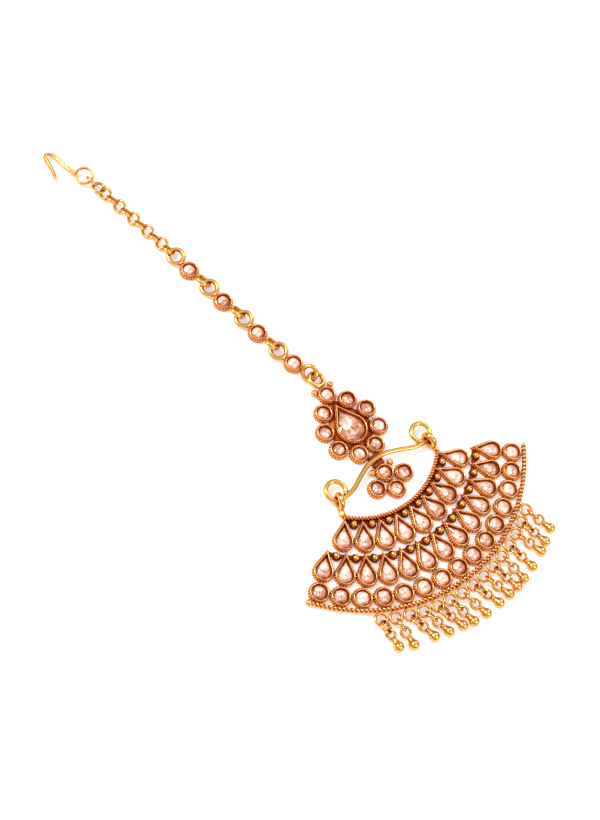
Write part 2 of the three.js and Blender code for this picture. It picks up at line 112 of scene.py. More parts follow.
WALL_HEIGHT = 1.5 * MM  # that the wall's profile is drawn for
ROPE_WAIST = 0.20  # how far a rope's section narrows between its two wires, as a share
GRAIN_SEAT = 0.9  # height of a grain's middle above the strip, as a share of its radius
EYE_PLAY = 0.1 * MM  # between a link and the eye that hangs in it
HOOK_LAP = 0.05 * MM  # how far each of the hook's two wires is pressed past their middle line
LEAN_FROM = 0.35  # share of the hook's length where its two wires start to turn about each other
LEAN_OVER = 0.4  # share of its length that the turn takes
RING_LAPS = 2  # how many solder laps a link's ring or loop sinks into its setting
TOP_RING_LAPS = 3
STONE_TURN = 37  # degrees from each stone of the pendant to the next, so that no two show the same facets
BACK_OXIDE = 0.95  # on the back plate and the bar under the bow
RING_OXIDE = 0.6  # on the inside of a ring
CORNER_REACH = 0.6 * MM  # how wide the painted shade in a corner between two pieces reaches
SCRATCH_DEPTH = 0.03 * MM
PATCH_MIDDLE = 0.45  # the noise above which a patch darkens
FLOOR_MOTTLE = 0.985  # brightness of the table's darker patches
STONE_CAST = 0.35  # how much the stones differ from each other
STONE_FIRE = 0.7  # how much the light differs inside a stone
SEEDS = {  # of the random cast of each stone; every other piece has seed 1
    "inner_pear_stones": 3, "outer_pear_stones": 5, "round_stones": 8, "pendant_stones": 21,
    "flower_stones": 34, "pear_stone": 2, "link_stones": 13,
}

# A cut stone, as shares of its width and of the height of its crown

STONE_SIDES = 8
CROWN_WIDTH = 0.80  # where kites and half facets meet
CROWN_RISE = 0.62
TABLE_WIDTH = 0.60
HEART_WIDTH = 0.2  # of the painted dark heart, as a share of the table
SKIRT_DEPTH = 0.2 * MM  # of the stone below its widest part
HEART_DIP = 0.02 * MM  # of the heart's middle below the flat top

# Profiles of the small turned and lofted pieces. The last column is how dark the oxide lies there.

WALL_PROFILE = [  # in from the outside and up, in millimetres; share of the milling; oxide
    (0.16, 0.00, 0.0, 0.9),
    (0.03, 0.12, 0.6, 0.8),
    (0.00, 0.35, 1.0, 0.4),
    (0.00, 0.80, 1.0, 0.1),
    (0.05, 1.03, 1.0, 0.0),
    (0.16, 1.18, 1.0, 0.0),
    (0.27, 1.16, 0.6, 0.5),
    (0.33, 1.08, 0.0, 1.0),
    (0.34, 1.26, 0.0, 0.5),
    (0.37, 1.42, 0.0, 0.0),
    (0.44, 1.50, 0.0, 0.0),
    (0.56, 1.50, 0.0, 0.0),
    (0.63, 1.42, 0.0, 0.1),
    (0.67, 1.26, 0.0, 0.45),
    (0.71, 1.00, 0.0, 0.7),
    (0.78, 0.62, 0.0, 0.9),
]
GRAIN_PROFILE = [  # across and up, as shares of the grain's radius; oxide
    (0.55, -1.00, 1.0), (0.86, -0.55, 0.7), (1.00, 0.00, 0.3), (0.90, 0.45, 0.05), (0.64, 0.78, 0.0),
    (0.36, 0.94, 0.0), (0.20, 0.95, 0.2), (0.10, 0.84, 1.0), (0.03, 0.80, 1.0),
]
SEATED_GRAIN_PROFILE = [(1.44, -1.00, 0.7), (1.42, -0.86, 0.6), (0.80, -0.70, 0.9), *GRAIN_PROFILE[1:]]
KNOB_PROFILE = [  # across and up, as shares of the knob's radius; oxide
    (0.10, -0.98, 0.6), (0.60, -0.80, 0.5), (0.93, -0.38, 0.3), (1.00, 0.00, 0.1), (0.93, 0.38, 0.0),
    (0.72, 0.70, 0.0), (0.40, 0.92, 0.0), (0.10, 0.99, 0.0),
]
DROP_PROFILE = [  # across and towards the eye from the ball's middle, as shares of the ball's radius; oxide
    (0.04, -0.84, 1.0), (0.12, -0.88, 0.9), (0.22, -0.97, 0.1), (0.38, -0.92, 0.0), (0.56, -0.83, 0.0),
    (0.72, -0.69, 0.0), (0.85, -0.53, 0.0), (0.94, -0.34, 0.0), (0.985, -0.17, 0.0), (1.00, 0.00, 0.0),
    (0.985, 0.17, 0.0), (0.94, 0.34, 0.0), (0.85, 0.53, 0.0), (0.75, 0.67, 0.05), (0.67, 0.80, 0.1),
    (0.61, 0.93, 0.15), (0.56, 1.08, 0.2), (0.52, 1.25, 0.25), (0.49, 1.50, 0.3), (0.49, 1.66, 0.35),
    (0.32, 1.80, 0.5), (0.10, 1.86, 0.5),
]

# Painted light and shade of a stone's facets, for the light that the facets and the foil below them reflect,
# from deep to pale, in eight turns about its middle

STAR_LIGHTS = [  # star facet, kite, half facet, half facet
    (0.75, 0.50, 0.25, 0.45), (0.85, 0.65, 0.20, 0.40), (0.60, 0.35, 0.45, 0.20), (0.45, 0.55, 0.15, 0.35),
    (0.30, 0.20, 0.10, 0.30), (0.55, 0.35, 0.30, 0.10), (0.50, 0.30, 0.15, 0.35), (0.80, 0.60, 0.40, 0.20),
]
TABLE_LIGHTS = [  # three wedges of the table
    (1.00, 0.70, 0.90), (0.95, 1.00, 0.55), (0.85, 0.45, 0.90), (0.45, 0.75, 0.35),
    (0.30, 0.55, 0.25), (0.60, 0.35, 0.80), (0.75, 0.50, 1.00), (0.60, 1.00, 0.80),
]
HEART_SHADES = [(0.12, 0.30), (0.05, 0.12)]  # two wedges of the dark heart, a painted reflection of the stone's point
FOOT_LIGHT = 0.5
SKIRT_LIGHT = 0.2


# What a user may change


def length(name, description, millimetres):
    return FloatProperty(
        name=name, description=description, default=millimetres * MM, unit="LENGTH", precision=5, min=0.0,
    )


def degrees(name, description, value):
    return FloatProperty(
        name=name, description=description, default=math.radians(value), subtype="ANGLE", unit="ROTATION",
    )


def proportion(name, description, value):
    return FloatProperty(
        name=name, description=description, default=value, subtype="FACTOR", min=0.0, max=1.0,
    )


def count(name, description, value):
    return IntProperty(name=name, description=description, default=value, min=1)


def colour(name, description, value):
    return FloatVectorProperty(name=name, description=description, default=value, subtype="COLOR", size=3)


class SettingSizes(bpy.types.PropertyGroup):
    height: length("Height", "From the table up to the rim of a setting", 1.5)
    girdle_inset: length("Girdle inset", "From the outside of a setting in to the edge of its stone", 0.86)
    point_share: proportion("Stone's point", "How far a pear stone reaches into its setting's point", 0.88)
    girdle_height: length("Girdle height", "From the table up to the widest part of a stone", 0.78)
    table_height: length("Stone height", "From the table up to the flat top of a stone", 1.22)
    tooth_pitch: length("Milling pitch", "From tooth to tooth of the milled strip round a setting", 0.66)
    tooth_depth: length("Milling depth", "How far the teeth of the milled strip stand out", 0.18)
    back_lift: length("Back lift", "How far plates, strips and bars lie above the feet of the settings", 0.04)
    solder_lap: length("Solder lap", "How far two soldered pieces run into each other", 0.1)


class FanSizes(bpy.types.PropertyGroup):
    inner_radius: length("Inner radius", "Radius of the inner rope", 20.5)
    inner_rope: length("Inner rope", "Thickness of the inner rope", 0.95)
    rope_swell: length("Rope swell", "How much thicker the twisted ropes are than the frame's", 0.16)
    outer_rope: length("Outer rope", "Thickness of the outer rope", 1.1)
    rope_shift: length("Rope shift", "How far the inner rope is drawn out over the pears' points", 0.3)
    rope_height: length("Rope height", "Height of the ropes' middles", 1.05)
    inner_twist: length("Inner twist", "Length of one full twist of the inner rope", 1.5)
    outer_twist: length("Outer twist", "Length of one full twist of the outer rope", 2.0)
    knob: length("Knob", "Radius of the knob of solder at the left end of the outer rope", 0.8)
    knob_inset: length("Knob inset", "How far the middle of that knob lies in from the rope's end", 0.55)
    pear_bulb: length("Pear bulb", "Radius of the round end of a fan pear", 2.52)
    pear_tip: length("Pear point", "From the middle of a fan pear's bulb to its point", 5.45)
    round: length("Round", "Radius of a round setting of the fan", 2.47)
    inner_pears: count("Inner pears", "Pears in the inner row", 9)
    outer_pears: count("Outer pears", "Pears in the outer row", 13)
    rounds: count("Rounds", "Round settings in the last row", 15)
    inner_overhang: degrees("Inner overhang", "How far the inner rope runs past its end pears", 1.6)
    outer_overhang: degrees("Outer overhang", "How far the outer rope runs past its end rounds", 3.2)
    inner_band: length("Inner band", "From the inner pears' points out to the strip that ties them", 0.55)
    outer_band: length("Outer band", "The same for the outer pears", 1.1)
    band_width: length("Band width", "Width of those strips", 1.0)
    band_thickness: length("Band thickness", "Thickness of those strips", 0.6)
    grain: length("Grain", "Radius of a grain between the pears", 0.78)
    grain_offset: length("Grain offset", "From the pears' points out to the grains between them", 1.35)
    bail_radius: length("Bail radius", "Radius of the two bails", 1.7)
    bail_swell: length("Bail swell", "How much thicker the bails are than the frame's, inwards", 0.5)
    bail_wire: length("Bail wire", "Thickness of the bails' wire", 0.9)


class PendantSizes(bpy.types.PropertyGroup):
    across: length("Across", "From the fan's middle line to the pear's middle", 1.1)
    along: length("Along", "From the fan's centre up to the pear's middle", 0.87)
    lean: degrees("Lean", "How far the pendant leans to the right", 2.4)
    pear_bulb: length("Pear bulb", "Radius of the round end of the large pear", 3.95)
    pear_tip: length("Pear point", "From the middle of the large pear's bulb to its point", 7.2)
    round: length("Round", "Radius of a round setting of the pendant", 2.35)
    side_gap: length("Side gap", "Between the pear and the rounds at its sides", 0.25)
    tip_gap: length("Point gap", "Between the pear's point and the top round", 0.4)
    plate_bulb: length("Plate bulb", "Radius of the round end of the back plate", 5.2)
    plate_thickness: length("Plate thickness", "Thickness of the back plate", 0.5)
    plate_bevel: length("Plate bevel", "Bevel of the plate's upper edge and of the bar under the bow", 0.15)
    neck_lap: length("Neck lap", "How far that bar runs under the rounds at its ends", 0.3)
    neck_width: length("Neck width", "Width of the bar under the bow", 2.8)
    grain_across: length("Grain across", "From the top round's middle across to the grains beside it", 2.33)
    grain_up: length("Grain up", "From the top round's middle up to those grains", 1.82)
    flower_grain_across: length("Flower grain across", "The same across for the flower's first round", 2.64)
    flower_grain_up: length("Flower grain up", "The same up for the flower's first round", 1.37)
    flower_drop: length("Flower drop", "From the bow wire down to the flower's first round", 0.8)
    bow_wire: length("Bow wire", "Thickness of the bow wire", 0.94)
    bow_swell: length("Bow swell", "How much thicker the visible bow wire is", 0.2)
    bow_height: length("Bow height", "Height of the bow wire's middle", 1.8)
    bow_drop: length("Bow drop", "From the pear's middle down to the bow", 9.2)
    bow_half_span: length("Bow half span", "From the middle of the bow to the middle of each loop", 13.05)
    bow_sag: length("Bow sag", "From the middle of the bow down to the foot of each loop", 3.2)
    bow_loop: length("Bow loop", "Radius of the bow's loops", 2.3)
    bow_turn: degrees("Bow turn", "How far the wire runs round each loop", 324)


class ChainSizes(bpy.types.PropertyGroup):
    wire_gap: length("Wire gap", "Free play where one loop passes through another", 0.22)
    slant_gap: length("Slant gap", "Free play where a thick loop passes aslant", 0.55)
    ring_height: length("Ring height", "Height of the flat rings' middles", 1.25)
    top_ring: length("Top ring", "Radius of the pendant's ring", 1.9)
    top_ring_tilt: degrees("Top ring tilt", "How far the pendant's ring is tipped", 10)
    ring: length("Ring", "Radius of the stone links' rings", 2.0)
    ring_tilt: degrees("Ring tilt", "How far the stone links' rings are tipped", -10)
    side_loop: length("Side loop", "Radius of the stone links' upright loops", 1.82)
    jump_wire: length("Jump wire", "Thickness of the rings and side loops", 0.82)
    link_round: length("Link round", "Radius of the stone links' settings", 2.4)
    jump_swell: length("Jump swell", "How much thicker the visible rings and loops are, inwards", 0.26)
    cable_swell: length("Cable swell", "How much thicker the visible links of the thin chain are", 0.16)
    cable_radius: length("Cable radius", "Radius of the links of the thin chain", 1.42)
    cable_wire: length("Cable wire", "Thickness of those links", 0.56)
    cable_lap: length("Cable lap", "How far each of those links sinks into the next", 0.1)
    cable_heading: degrees("Cable heading", "Direction of the thin chain, to the left", 10.4)
    hook_heading: degrees("Hook heading", "Direction from the thin chain to the hook's ring, to the left", 14)
    hook_wire: length("Hook wire", "Thickness of the hook's wire", 0.7)
    hook_ring: length("Hook ring", "Radius of the hook's ring", 2.1)
    hook_ring_tilt: degrees("Hook ring tilt", "How far the hook's ring is tipped", -12)
    hook_height: length("Hook height", "Height of the hook's middle", 1.3)
    hook_length: length("Hook length", "From the hook's ring to the top of its bend", 10.38)
    hook_width: length("Hook width", "From the middle of the hook's ring across to its tip", 5.9)
    shank_lean: degrees("Shank lean", "From side by side to stacked, of the hook's wires at its ring", 20)
    leg_lean: degrees("Leg lean", "The same at the hook's tip", 85)


class FringeSizes(bpy.types.PropertyGroup):
    ring: length("Ring", "Radius of the rings on the outer rope", 1.35)
    wire: length("Wire", "Thickness of the rings and links", 0.54)
    swell: length("Swell", "How much thicker the visible rings and links are", 0.14)
    ring_height: length("Ring height", "Height of the rings' middles", 1.3)
    pitch: length("Pitch", "From ring to ring along the rope", 3.37)
    link: length("Link", "Radius of the links", 1.45)
    eye: length("Eye", "Radius of the eye at the top of a drop", 1.06)
    eye_wire: length("Eye wire", "Thickness of that eye", 0.6)
    ball: length("Ball", "Radius of the balls", 1.21)
    box_ball: length("Ball's room", "Radius of the ball that the frame allows", 1.25)
    stem: length("Stem", "From the link down to the ball", 2.3)


class Finishes(bpy.types.PropertyGroup):
    # The metal colours are mixed by real oxide and by painted shade, so the worn copper, deep gold and oxide
    # colours also carry painted shade in corners and on sides turned from the camera.
    copper_gold: colour("Copper gold", "Plate on the raised edges of the settings", (1.0, 0.5, 0.185))
    worn_copper: colour("Worn copper", "Plate on their walls", (0.84, 0.27, 0.06))
    oxide: colour("Oxide", "Dark finish left in the hollows", (0.19, 0.017, 0.003))
    bright_gold: colour("Bright gold", "Plate on the wires, drops and grains", (1.0, 0.56, 0.165))
    deep_gold_and_side_shade: colour("Deep gold", "The same where it is rubbed less", (0.72, 0.25, 0.04))
    # The four stone colours run from the painted shade to the painted light of the facets.
    pale_stone: colour("Pale stone", "Lightest facets of the stones", (1.0, 0.86, 0.78))
    rose_stone: colour("Rose stone", "Light middle facets of the stones", (0.9, 0.54, 0.42))
    pink_stone: colour("Pink stone", "Deep middle facets of the stones", (0.68, 0.29, 0.17))
    deep_stone: colour("Deep stone", "Darkest facets of the stones", (0.3, 0.075, 0.025))


class StageSettings(bpy.types.PropertyGroup):
    camera_place: FloatVectorProperty(
        name="Camera place", description="Camera, from the fan's centre", subtype="TRANSLATION",
        unit="LENGTH", default=(-0.1221, -0.0525, 0.2539), precision=4,
    )
    camera_turn: FloatVectorProperty(
        name="Camera turn", description="Rotation of the camera", subtype="EULER",
        default=(math.radians(25.271), math.radians(-11.431), math.radians(-38.397)),
    )
    camera_lens: FloatProperty(name="Lens", description="Focal length in millimetres", default=54.39)
    sensor: FloatProperty(name="Sensor", description="Longer side of the sensor in millimetres", default=36.0)
    floor_size: length("Table size", "Side of the square table", 3000)
    floor_gap: length("Table gap", "Just below the jewel's lowest points", 0.02)
    floor: colour("Table colour", "Pale matt table", (0.93, 0.93, 0.93))
    floor_glow: FloatProperty(name="Table glow", description="Light from under the table", default=0.32)
    sky: colour("Room light", "Soft light of the room", (1.0, 0.99, 0.97))
    sky_strength: FloatProperty(name="Room strength", description="Strength of that light", default=0.72)


GROUPS = {
    "tikka_setting": SettingSizes,
    "tikka_fan": FanSizes,
    "tikka_pendant": PendantSizes,
    "tikka_chain": ChainSizes,
    "tikka_fringe": FringeSizes,
    "tikka_finish": Finishes,
    "tikka_stage": StageSettings,
}


def sizes(name):
    return getattr(bpy.context.scene, f"tikka_{name}")


def solder_lap():
    return sizes("setting").solder_lap


# Places: where each piece lies, worked out as the frame's are


def hole_radius(radius, wire, sides=FRAME_LOOP_SIDES):
    """The smallest radius of the hole in one of the frame's loops, which are cut from flat sides."""
    return radius * math.cos(math.pi / sides) - wire / 2


def pulled_apart(radius, wire, other, other_wire, play):
    return hole_radius(radius, wire) + hole_radius(other, other_wire) - play


def pitch_angle(width, radius):
    return 2 * math.asin((width - solder_lap()) / 2 / radius)


def row_angles(number, pitch):
    return [(i - (number - 1) / 2) * pitch for i in range(number)]


class FanRows:
    """Radii and pitches of the fan's rows, each worked out from the one inside it."""

    def __init__(self):
        fan = sizes("fan")
        lap = solder_lap()
        self.inner_tips = fan.inner_radius + fan.inner_rope / 2 - lap
        self.inner_row = self.inner_tips + fan.pear_tip
        self.outer_tips = self.inner_row + fan.pear_bulb - lap
        self.outer_row = self.outer_tips + fan.pear_tip
        self.round_row = self.outer_row + fan.pear_bulb + fan.round - lap
        self.outer_rope = self.round_row + fan.round + fan.outer_rope / 2 - lap
        self.inner_pitch = pitch_angle(2 * fan.pear_bulb, self.inner_row)
        self.outer_pitch = pitch_angle(2 * fan.pear_bulb, self.outer_row)
        self.round_pitch = pitch_angle(2 * fan.round, self.round_row)
        self.inner_half = (fan.inner_pears - 1) / 2 * self.inner_pitch + fan.inner_overhang
        self.outer_half = (fan.rounds - 1) / 2 * self.round_pitch + fan.outer_overhang
        fringe = sizes("fringe")
        self.fringe = self.outer_rope + fan.outer_rope / 2 + fringe.ring + fringe.wire / 2 - lap
        pear = (fan.pear_bulb, fan.pear_tip)
        self.table = [  # name; bulb and point of a setting; number, radius and pitch of the row
            ("inner_pear", pear, (fan.inner_pears, self.inner_row, self.inner_pitch)),
            ("outer_pear", pear, (fan.outer_pears, self.outer_row, self.outer_pitch)),
            ("round", (fan.round, None), (fan.rounds, self.round_row, self.round_pitch)),
        ]


def fan_centre():
    """The middle of the fan's arcs: above the foot of the frame's lowest fringe ring."""
    fringe = sizes("fringe")
    lowest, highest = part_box("fan")
    reach = FanRows().fringe + (fringe.ring + fringe.wire / 2) * math.cos(math.pi / FRAME_LOOP_SIDES)
    return Vector(((lowest.x + highest.x) / 2, lowest.y + reach, 0.0))


def place(at, z=0.0, turn=0.0, tilt=0.0):
    """A place at a height over a point of the table: tipped about +Y, turned about +Z, then set there."""
    return Matrix.Translation((at.x, at.y, z)) @ Euler((0.0, tilt, turn)).to_matrix().to_4x4()


def on_fan(radius, angle, z=0.0):
    return Vector((radius * math.sin(angle), -radius * math.cos(angle), z))


def pendant_place():
    pendant = sizes("pendant")
    return place(fan_centre() + Vector((pendant.across, pendant.along, 0.0)), turn=-pendant.lean)


def pear_reach(bulb, tip, angle):
    """From the middle of a pear's bulb to its outline, at an angle from its point."""
    touch = math.acos(bulb / tip)
    return bulb / math.cos(max(0.0, touch - abs(angle)))


def top_round_at():
    pendant = sizes("pendant")
    return pendant.pear_tip + pendant.tip_gap + pendant.round


def top_ring_at():
    chain = sizes("chain")
    lap = solder_lap()
    edge = top_round_at() + sizes("pendant").round
    return edge + chain.top_ring + chain.jump_wire / 2 - TOP_RING_LAPS * lap


def pendant_rounds():
    """The middles of the rounds about the pear: one over its point, then pairs down both sides."""
    pendant = sizes("pendant")
    bulb = pendant.pear_bulb + pendant.side_gap + pendant.round
    tip = bulb * pendant.pear_tip / pendant.pear_bulb
    rounds = [Vector((0.0, top_round_at(), 0.0))]
    for angle in map(math.radians, PENDANT_ROUND_ANGLES):
        reach = pear_reach(bulb, tip, angle)
        rounds += [Vector((side * reach * math.sin(angle), reach * math.cos(angle), 0.0)) for side in (-1, 1)]
    return rounds


def flower_rounds():
    """The middles of four rounds that touch: one over another, and one on each side."""
    pendant = sizes("pendant")
    pitch = 2 * pendant.round - solder_lap()
    middle = -pendant.bow_drop - pendant.bow_wire / 2 - pendant.flower_drop - pendant.round - pitch / 2
    across = pitch * math.sin(math.radians(60))  # three of them touch in an equal-sided triangle
    spots = ((0.0, middle + pitch / 2), (-across, middle), (across, middle), (0.0, middle - pitch / 2))
    return [Vector((x, y, 0.0)) for x, y in spots]


def bow_points():
    """The bow wire from loop to loop, square to the fan, from the bow's middle."""
    pendant = sizes("pendant")
    half = [Vector((x * pendant.bow_half_span, -y * pendant.bow_sag, 0.0)) for x, y in BOW_SWEEP]
    for i in range(BOW_LOOP_STEPS + 1):
        turn = i / BOW_LOOP_STEPS * pendant.bow_turn - math.pi / 2
        half.append(Vector((
            pendant.bow_half_span + pendant.bow_loop * math.cos(turn),
            pendant.bow_loop - pendant.bow_sag + pendant.bow_loop * math.sin(turn),
            0.0,
        )))
    mirrored = [Vector((-p.x, p.y, 0.0)) for p in reversed(half)]
    return mirrored + [Vector((0.0, 0.0, 0.0))] + half


def bow_place():
    pendant = sizes("pendant")
    middle = pendant_place() @ Vector((0.0, -pendant.bow_drop, 0.0))
    return place(middle, pendant.bow_height)


def bail_places():
    """Each bail's place, standing on its edge, with the point of the inner rope that carries it."""
    fan, pendant, chain = sizes("fan"), sizes("pendant"), sizes("chain")
    rows = FanRows()
    height = fan.bail_radius + fan.bail_wire / 2
    hole = hole_radius(fan.bail_radius, fan.bail_wire, FRAME_BAIL_SIDES)
    hole -= pendant.bow_wire / 2 + chain.wire_gap
    reach = math.sqrt(hole ** 2 - (height - pendant.bow_height) ** 2)
    bow = bow_place().translation
    found = []
    for side in (-1, 1):
        corner = fan_centre() + on_fan(fan.inner_radius, side * rows.inner_half)
        loop = Vector((bow.x + side * pendant.bow_half_span, bow.y + pendant.bow_loop - pendant.bow_sag, 0.0))
        away = (corner - loop).normalized()
        middle = loop + away * (pendant.bow_loop + reach)
        heading = math.atan2(-away.x, away.y)
        found.append((place(middle, height, heading, math.pi / 2), corner, away))
    return found


def onward(spot, distance, heading):
    return spot + Vector((-math.sin(heading), math.cos(heading), 0.0)) * distance


class ChainPlaces:
    """Where the stone links, the thin chain and the hook lie, from the pendant's ring upwards."""

    def __init__(self):
        chain = sizes("chain")
        lap = solder_lap()
        edge = chain.link_round + chain.jump_wire / 2 - RING_LAPS * lap
        self.ring_at = edge + chain.ring
        self.loop_at = edge + chain.side_loop
        ring = pendant_place() @ Vector((0.0, top_ring_at(), 0.0))
        radius = chain.top_ring
        self.stone_links = []
        for i in reversed(range(len(SIDE_LOOP_TILTS))):
            heading = math.radians(STONE_LINK_HEADINGS[i])
            pull = pulled_apart(radius, chain.jump_wire, chain.side_loop, chain.jump_wire, chain.slant_gap)
            middle = onward(ring, pull + self.loop_at, heading)
            tilt = math.radians(SIDE_LOOP_TILTS[i])
            self.stone_links.insert(0, (place(middle, turn=heading), tilt))
            ring = onward(middle, self.ring_at, heading)
            radius = chain.ring
        pull = pulled_apart(radius, chain.jump_wire, chain.cable_radius, chain.cable_wire, chain.wire_gap)
        lowest = onward(ring, pull, chain.cable_heading)
        pitch = 2 * (hole_radius(chain.cable_radius, chain.cable_wire) + chain.cable_lap)
        last = len(CHAIN_TILTS) - 1
        self.cable = []
        for i, tilt in enumerate(map(math.radians, CHAIN_TILTS)):
            middle = onward(lowest, (last - i) * pitch, chain.cable_heading)
            standing = chain.cable_radius * math.sin(abs(tilt)) + (chain.cable_wire + chain.cable_swell) / 2
            height = max(chain.ring_height, standing)
            self.cable.append(place(middle, height, chain.cable_heading, tilt))
        highest = onward(lowest, last * pitch, chain.cable_heading)
        last_link = (chain.cable_radius, chain.cable_wire)
        pull = pulled_apart(*last_link, chain.hook_ring, chain.hook_wire, chain.wire_gap)
        hook = onward(highest, pull, chain.hook_heading)
        self.hook = place(hook, chain.hook_height, chain.cable_heading)


def blend(a, b, start, end, t):
    return a.lerp(b, (t - start) / (end - start))


def smooth_path(points, steps):
    """A smooth line through points, with steps between each two, that never swings wide of them."""
    ends = [2 * points[0] - points[1]] + list(points) + [2 * points[-1] - points[-2]]
    path = []
    for a, b, c, d in zip(ends, ends[1:], ends[2:], ends[3:]):
        k1 = math.sqrt((b - a).length)
        k2 = k1 + math.sqrt((c - b).length)
        k3 = k2 + math.sqrt((d - c).length)
        for i in range(steps):
            t = k1 + (k2 - k1) * i / steps
            ab, bc, cd = blend(a, b, 0.0, k1, t), blend(b, c, k1, k2, t), blend(c, d, k2, k3, t)
            path.append(blend(blend(ab, bc, 0.0, k2, t), blend(bc, cd, k1, k3, t), k1, k2, t))
    return path + [points[-1].copy()]


# Meshes of single pieces


def new_object(name, data):
    item = bpy.data.objects.new(name, data)
    bpy.context.scene.collection.objects.link(item)
    return item


def mesh_object(name, points, faces, oxide=None, smooth=True):
    """An object from points and faces, its faces turned outwards, with the oxide's depth at each point."""
    mesh = bpy.data.meshes.new(name)
    mesh.from_pydata([tuple(p) for p in points], [], faces)
    if oxide is not None:
        mesh.attributes.new("oxide", "FLOAT", "POINT").data.foreach_set("value", oxide)
    work = bmesh.new()
    work.from_mesh(mesh)
    bmesh.ops.recalc_face_normals(work, faces=work.faces)
    work.to_mesh(mesh)
    work.free()
    mesh.polygons.foreach_set("use_smooth", [smooth] * len(mesh.polygons))
    return new_object(name, mesh)


def lofted(name, rings, oxide, closed=False, smooth=True):
    """A solid through rings of points, with the oxide at each: capped at both ends, or closed on itself."""
    around = len(rings[0])
    points = [p for ring in rings for p in ring]
    faces = []
    for level in range(len(rings) if closed else len(rings) - 1):
        start = level * around
        after = (level + 1) % len(rings) * around
        for i in range(around):
            j = (i + 1) % around
            faces.append((start + i, start + j, after + j, after + i))
    if not closed:
        faces.append(tuple(reversed(range(around))))
        faces.append(tuple(range(len(points) - around, len(points))))
    return mesh_object(name, points, faces, oxide, smooth)


def outline(bulb, tip, number):
    """Points around a round setting, or around a pear from its point on +Y, evenly along the outline."""
    if not tip:
        turns = [2 * math.pi * i / number for i in range(number)]
        return [Vector((-math.sin(turn) * bulb, math.cos(turn) * bulb, 0.0)) for turn in turns]
    touch = math.acos(bulb / tip)
    side = math.sqrt(tip ** 2 - bulb ** 2)
    arc = (2 * math.pi - 2 * touch) * bulb
    whole = 2 * side + arc
    points = []
    for i in range(number):
        run = whole * i / number
        mirror = 1 if run <= whole / 2 else -1
        run = min(run, whole - run)
        if run < side:
            start = Vector((0.0, tip, 0.0))
            foot = Vector((-math.sin(touch) * bulb, math.cos(touch) * bulb, 0.0))
            spot = start.lerp(foot, run / side)
        else:
            turn = touch + (run - side) / bulb
            spot = Vector((-math.sin(turn) * bulb, math.cos(turn) * bulb, 0.0))
        points.append(Vector((spot.x * mirror, spot.y, 0.0)))
    return points


def outline_length(bulb, tip):
    if not tip:
        return 2 * math.pi * bulb
    return 2 * math.sqrt(tip ** 2 - bulb ** 2) + (2 * math.pi - 2 * math.acos(bulb / tip)) * bulb


def setting_pattern(name, bulb, tip=None):
    """A cup of metal strip: a milled foot, a groove, a smooth rim and a dark seat for the stone."""
    setting = sizes("setting")
    teeth = round(outline_length(bulb, tip) / setting.tooth_pitch)
    edge = outline(bulb, tip, teeth * TOOTH_SAMPLES)
    rise = setting.height / WALL_HEIGHT
    rings, oxide = [], []
    for inset, height, milling, dark in WALL_PROFILE:
        ring = []
        for i, point in enumerate(edge):
            notch = milling * (0.5 - 0.5 * math.cos(2 * math.pi * i / TOOTH_SAMPLES))
            share = 1 - (inset * MM + setting.tooth_depth * notch) / bulb
            ring.append(Vector((point.x * share, point.y * share, height * MM * rise)))
            oxide.append(max(dark, notch))
        rings.append(ring)
    return lofted(name, rings, oxide)


def bevelled(top):
    """Inset and height of a flat piece's levels, from its lifted back up to its bevelled face."""
    bevel = sizes("pendant").plate_bevel
    return [(0.0, sizes("setting").back_lift), (0.0, top - bevel), (bevel, top)]


def scaled(points, share, height):
    return [Vector((p.x * share, p.y * share, height)) for p in points]


def stone_pattern(name, bulb, tip=None):
    """A cut stone: a girdle, sixteen half facets, eight kites, eight star facets and a table.

    Each facet carries painted light and shade, and the table is cut into wedges that carry the painted light
    and dark of the facets on the far side.
    """
    setting = sizes("setting")
    around = 2 * STONE_SIDES
    girdle = outline(bulb, tip and tip * setting.point_share, around)
    edge = 1 - setting.girdle_inset / bulb
    table = edge * TABLE_WIDTH
    low, high = setting.girdle_height, setting.table_height
    middle = low + (high - low) * CROWN_RISE
    points = scaled(girdle, edge, low - SKIRT_DEPTH) + scaled(girdle, edge, low)
    points += scaled(girdle[1::2], edge * CROWN_WIDTH, middle) + scaled(girdle[::2], table, high)
    points += scaled(girdle, table * HEART_WIDTH, high) + [Vector((0.0, 0.0, high - HEART_DIP))]
    girdle_at = around  # the first point of each ring, after the one round the foot
    crown_at = girdle_at + around
    table_at = crown_at + STONE_SIDES
    well_at = table_at + STONE_SIDES
    heart = well_at + around
    # Each face gets a painted light, from dark to pale.
    faces, facet_lights = [tuple(reversed(range(around)))], [FOOT_LIGHT]
    for i in range(around):
        j = (i + 1) % around
        faces.append((i, j, girdle_at + j, girdle_at + i))
        facet_lights.append(SKIRT_LIGHT)
    for i in range(STONE_SIDES):
        nxt, prev = (i + 1) % STONE_SIDES, (i - 1) % STONE_SIDES
        corner, mid, after = 2 * i, 2 * i + 1, (2 * i + 2) % around
        faces += [
            (table_at + i, table_at + nxt, crown_at + i),
            (table_at + i, crown_at + i, girdle_at + corner, crown_at + prev),
            (crown_at + i, girdle_at + corner, girdle_at + mid),
            (crown_at + i, girdle_at + mid, girdle_at + after),
        ]
        facet_lights += STAR_LIGHTS[i]
        faces += [
            (table_at + i, well_at + corner, well_at + mid),
            (table_at + i, well_at + mid, table_at + nxt),
            (table_at + nxt, well_at + mid, well_at + after),
        ]
        facet_lights += TABLE_LIGHTS[i]
        faces += [(well_at + corner, well_at + mid, heart), (well_at + mid, well_at + after, heart)]
        facet_lights += HEART_SHADES[i % 2]
    piece = mesh_object(name, points, faces, smooth=False)
    piece.data.attributes.new("tone", "FLOAT", "FACE").data.foreach_set("value", facet_lights)
    return piece


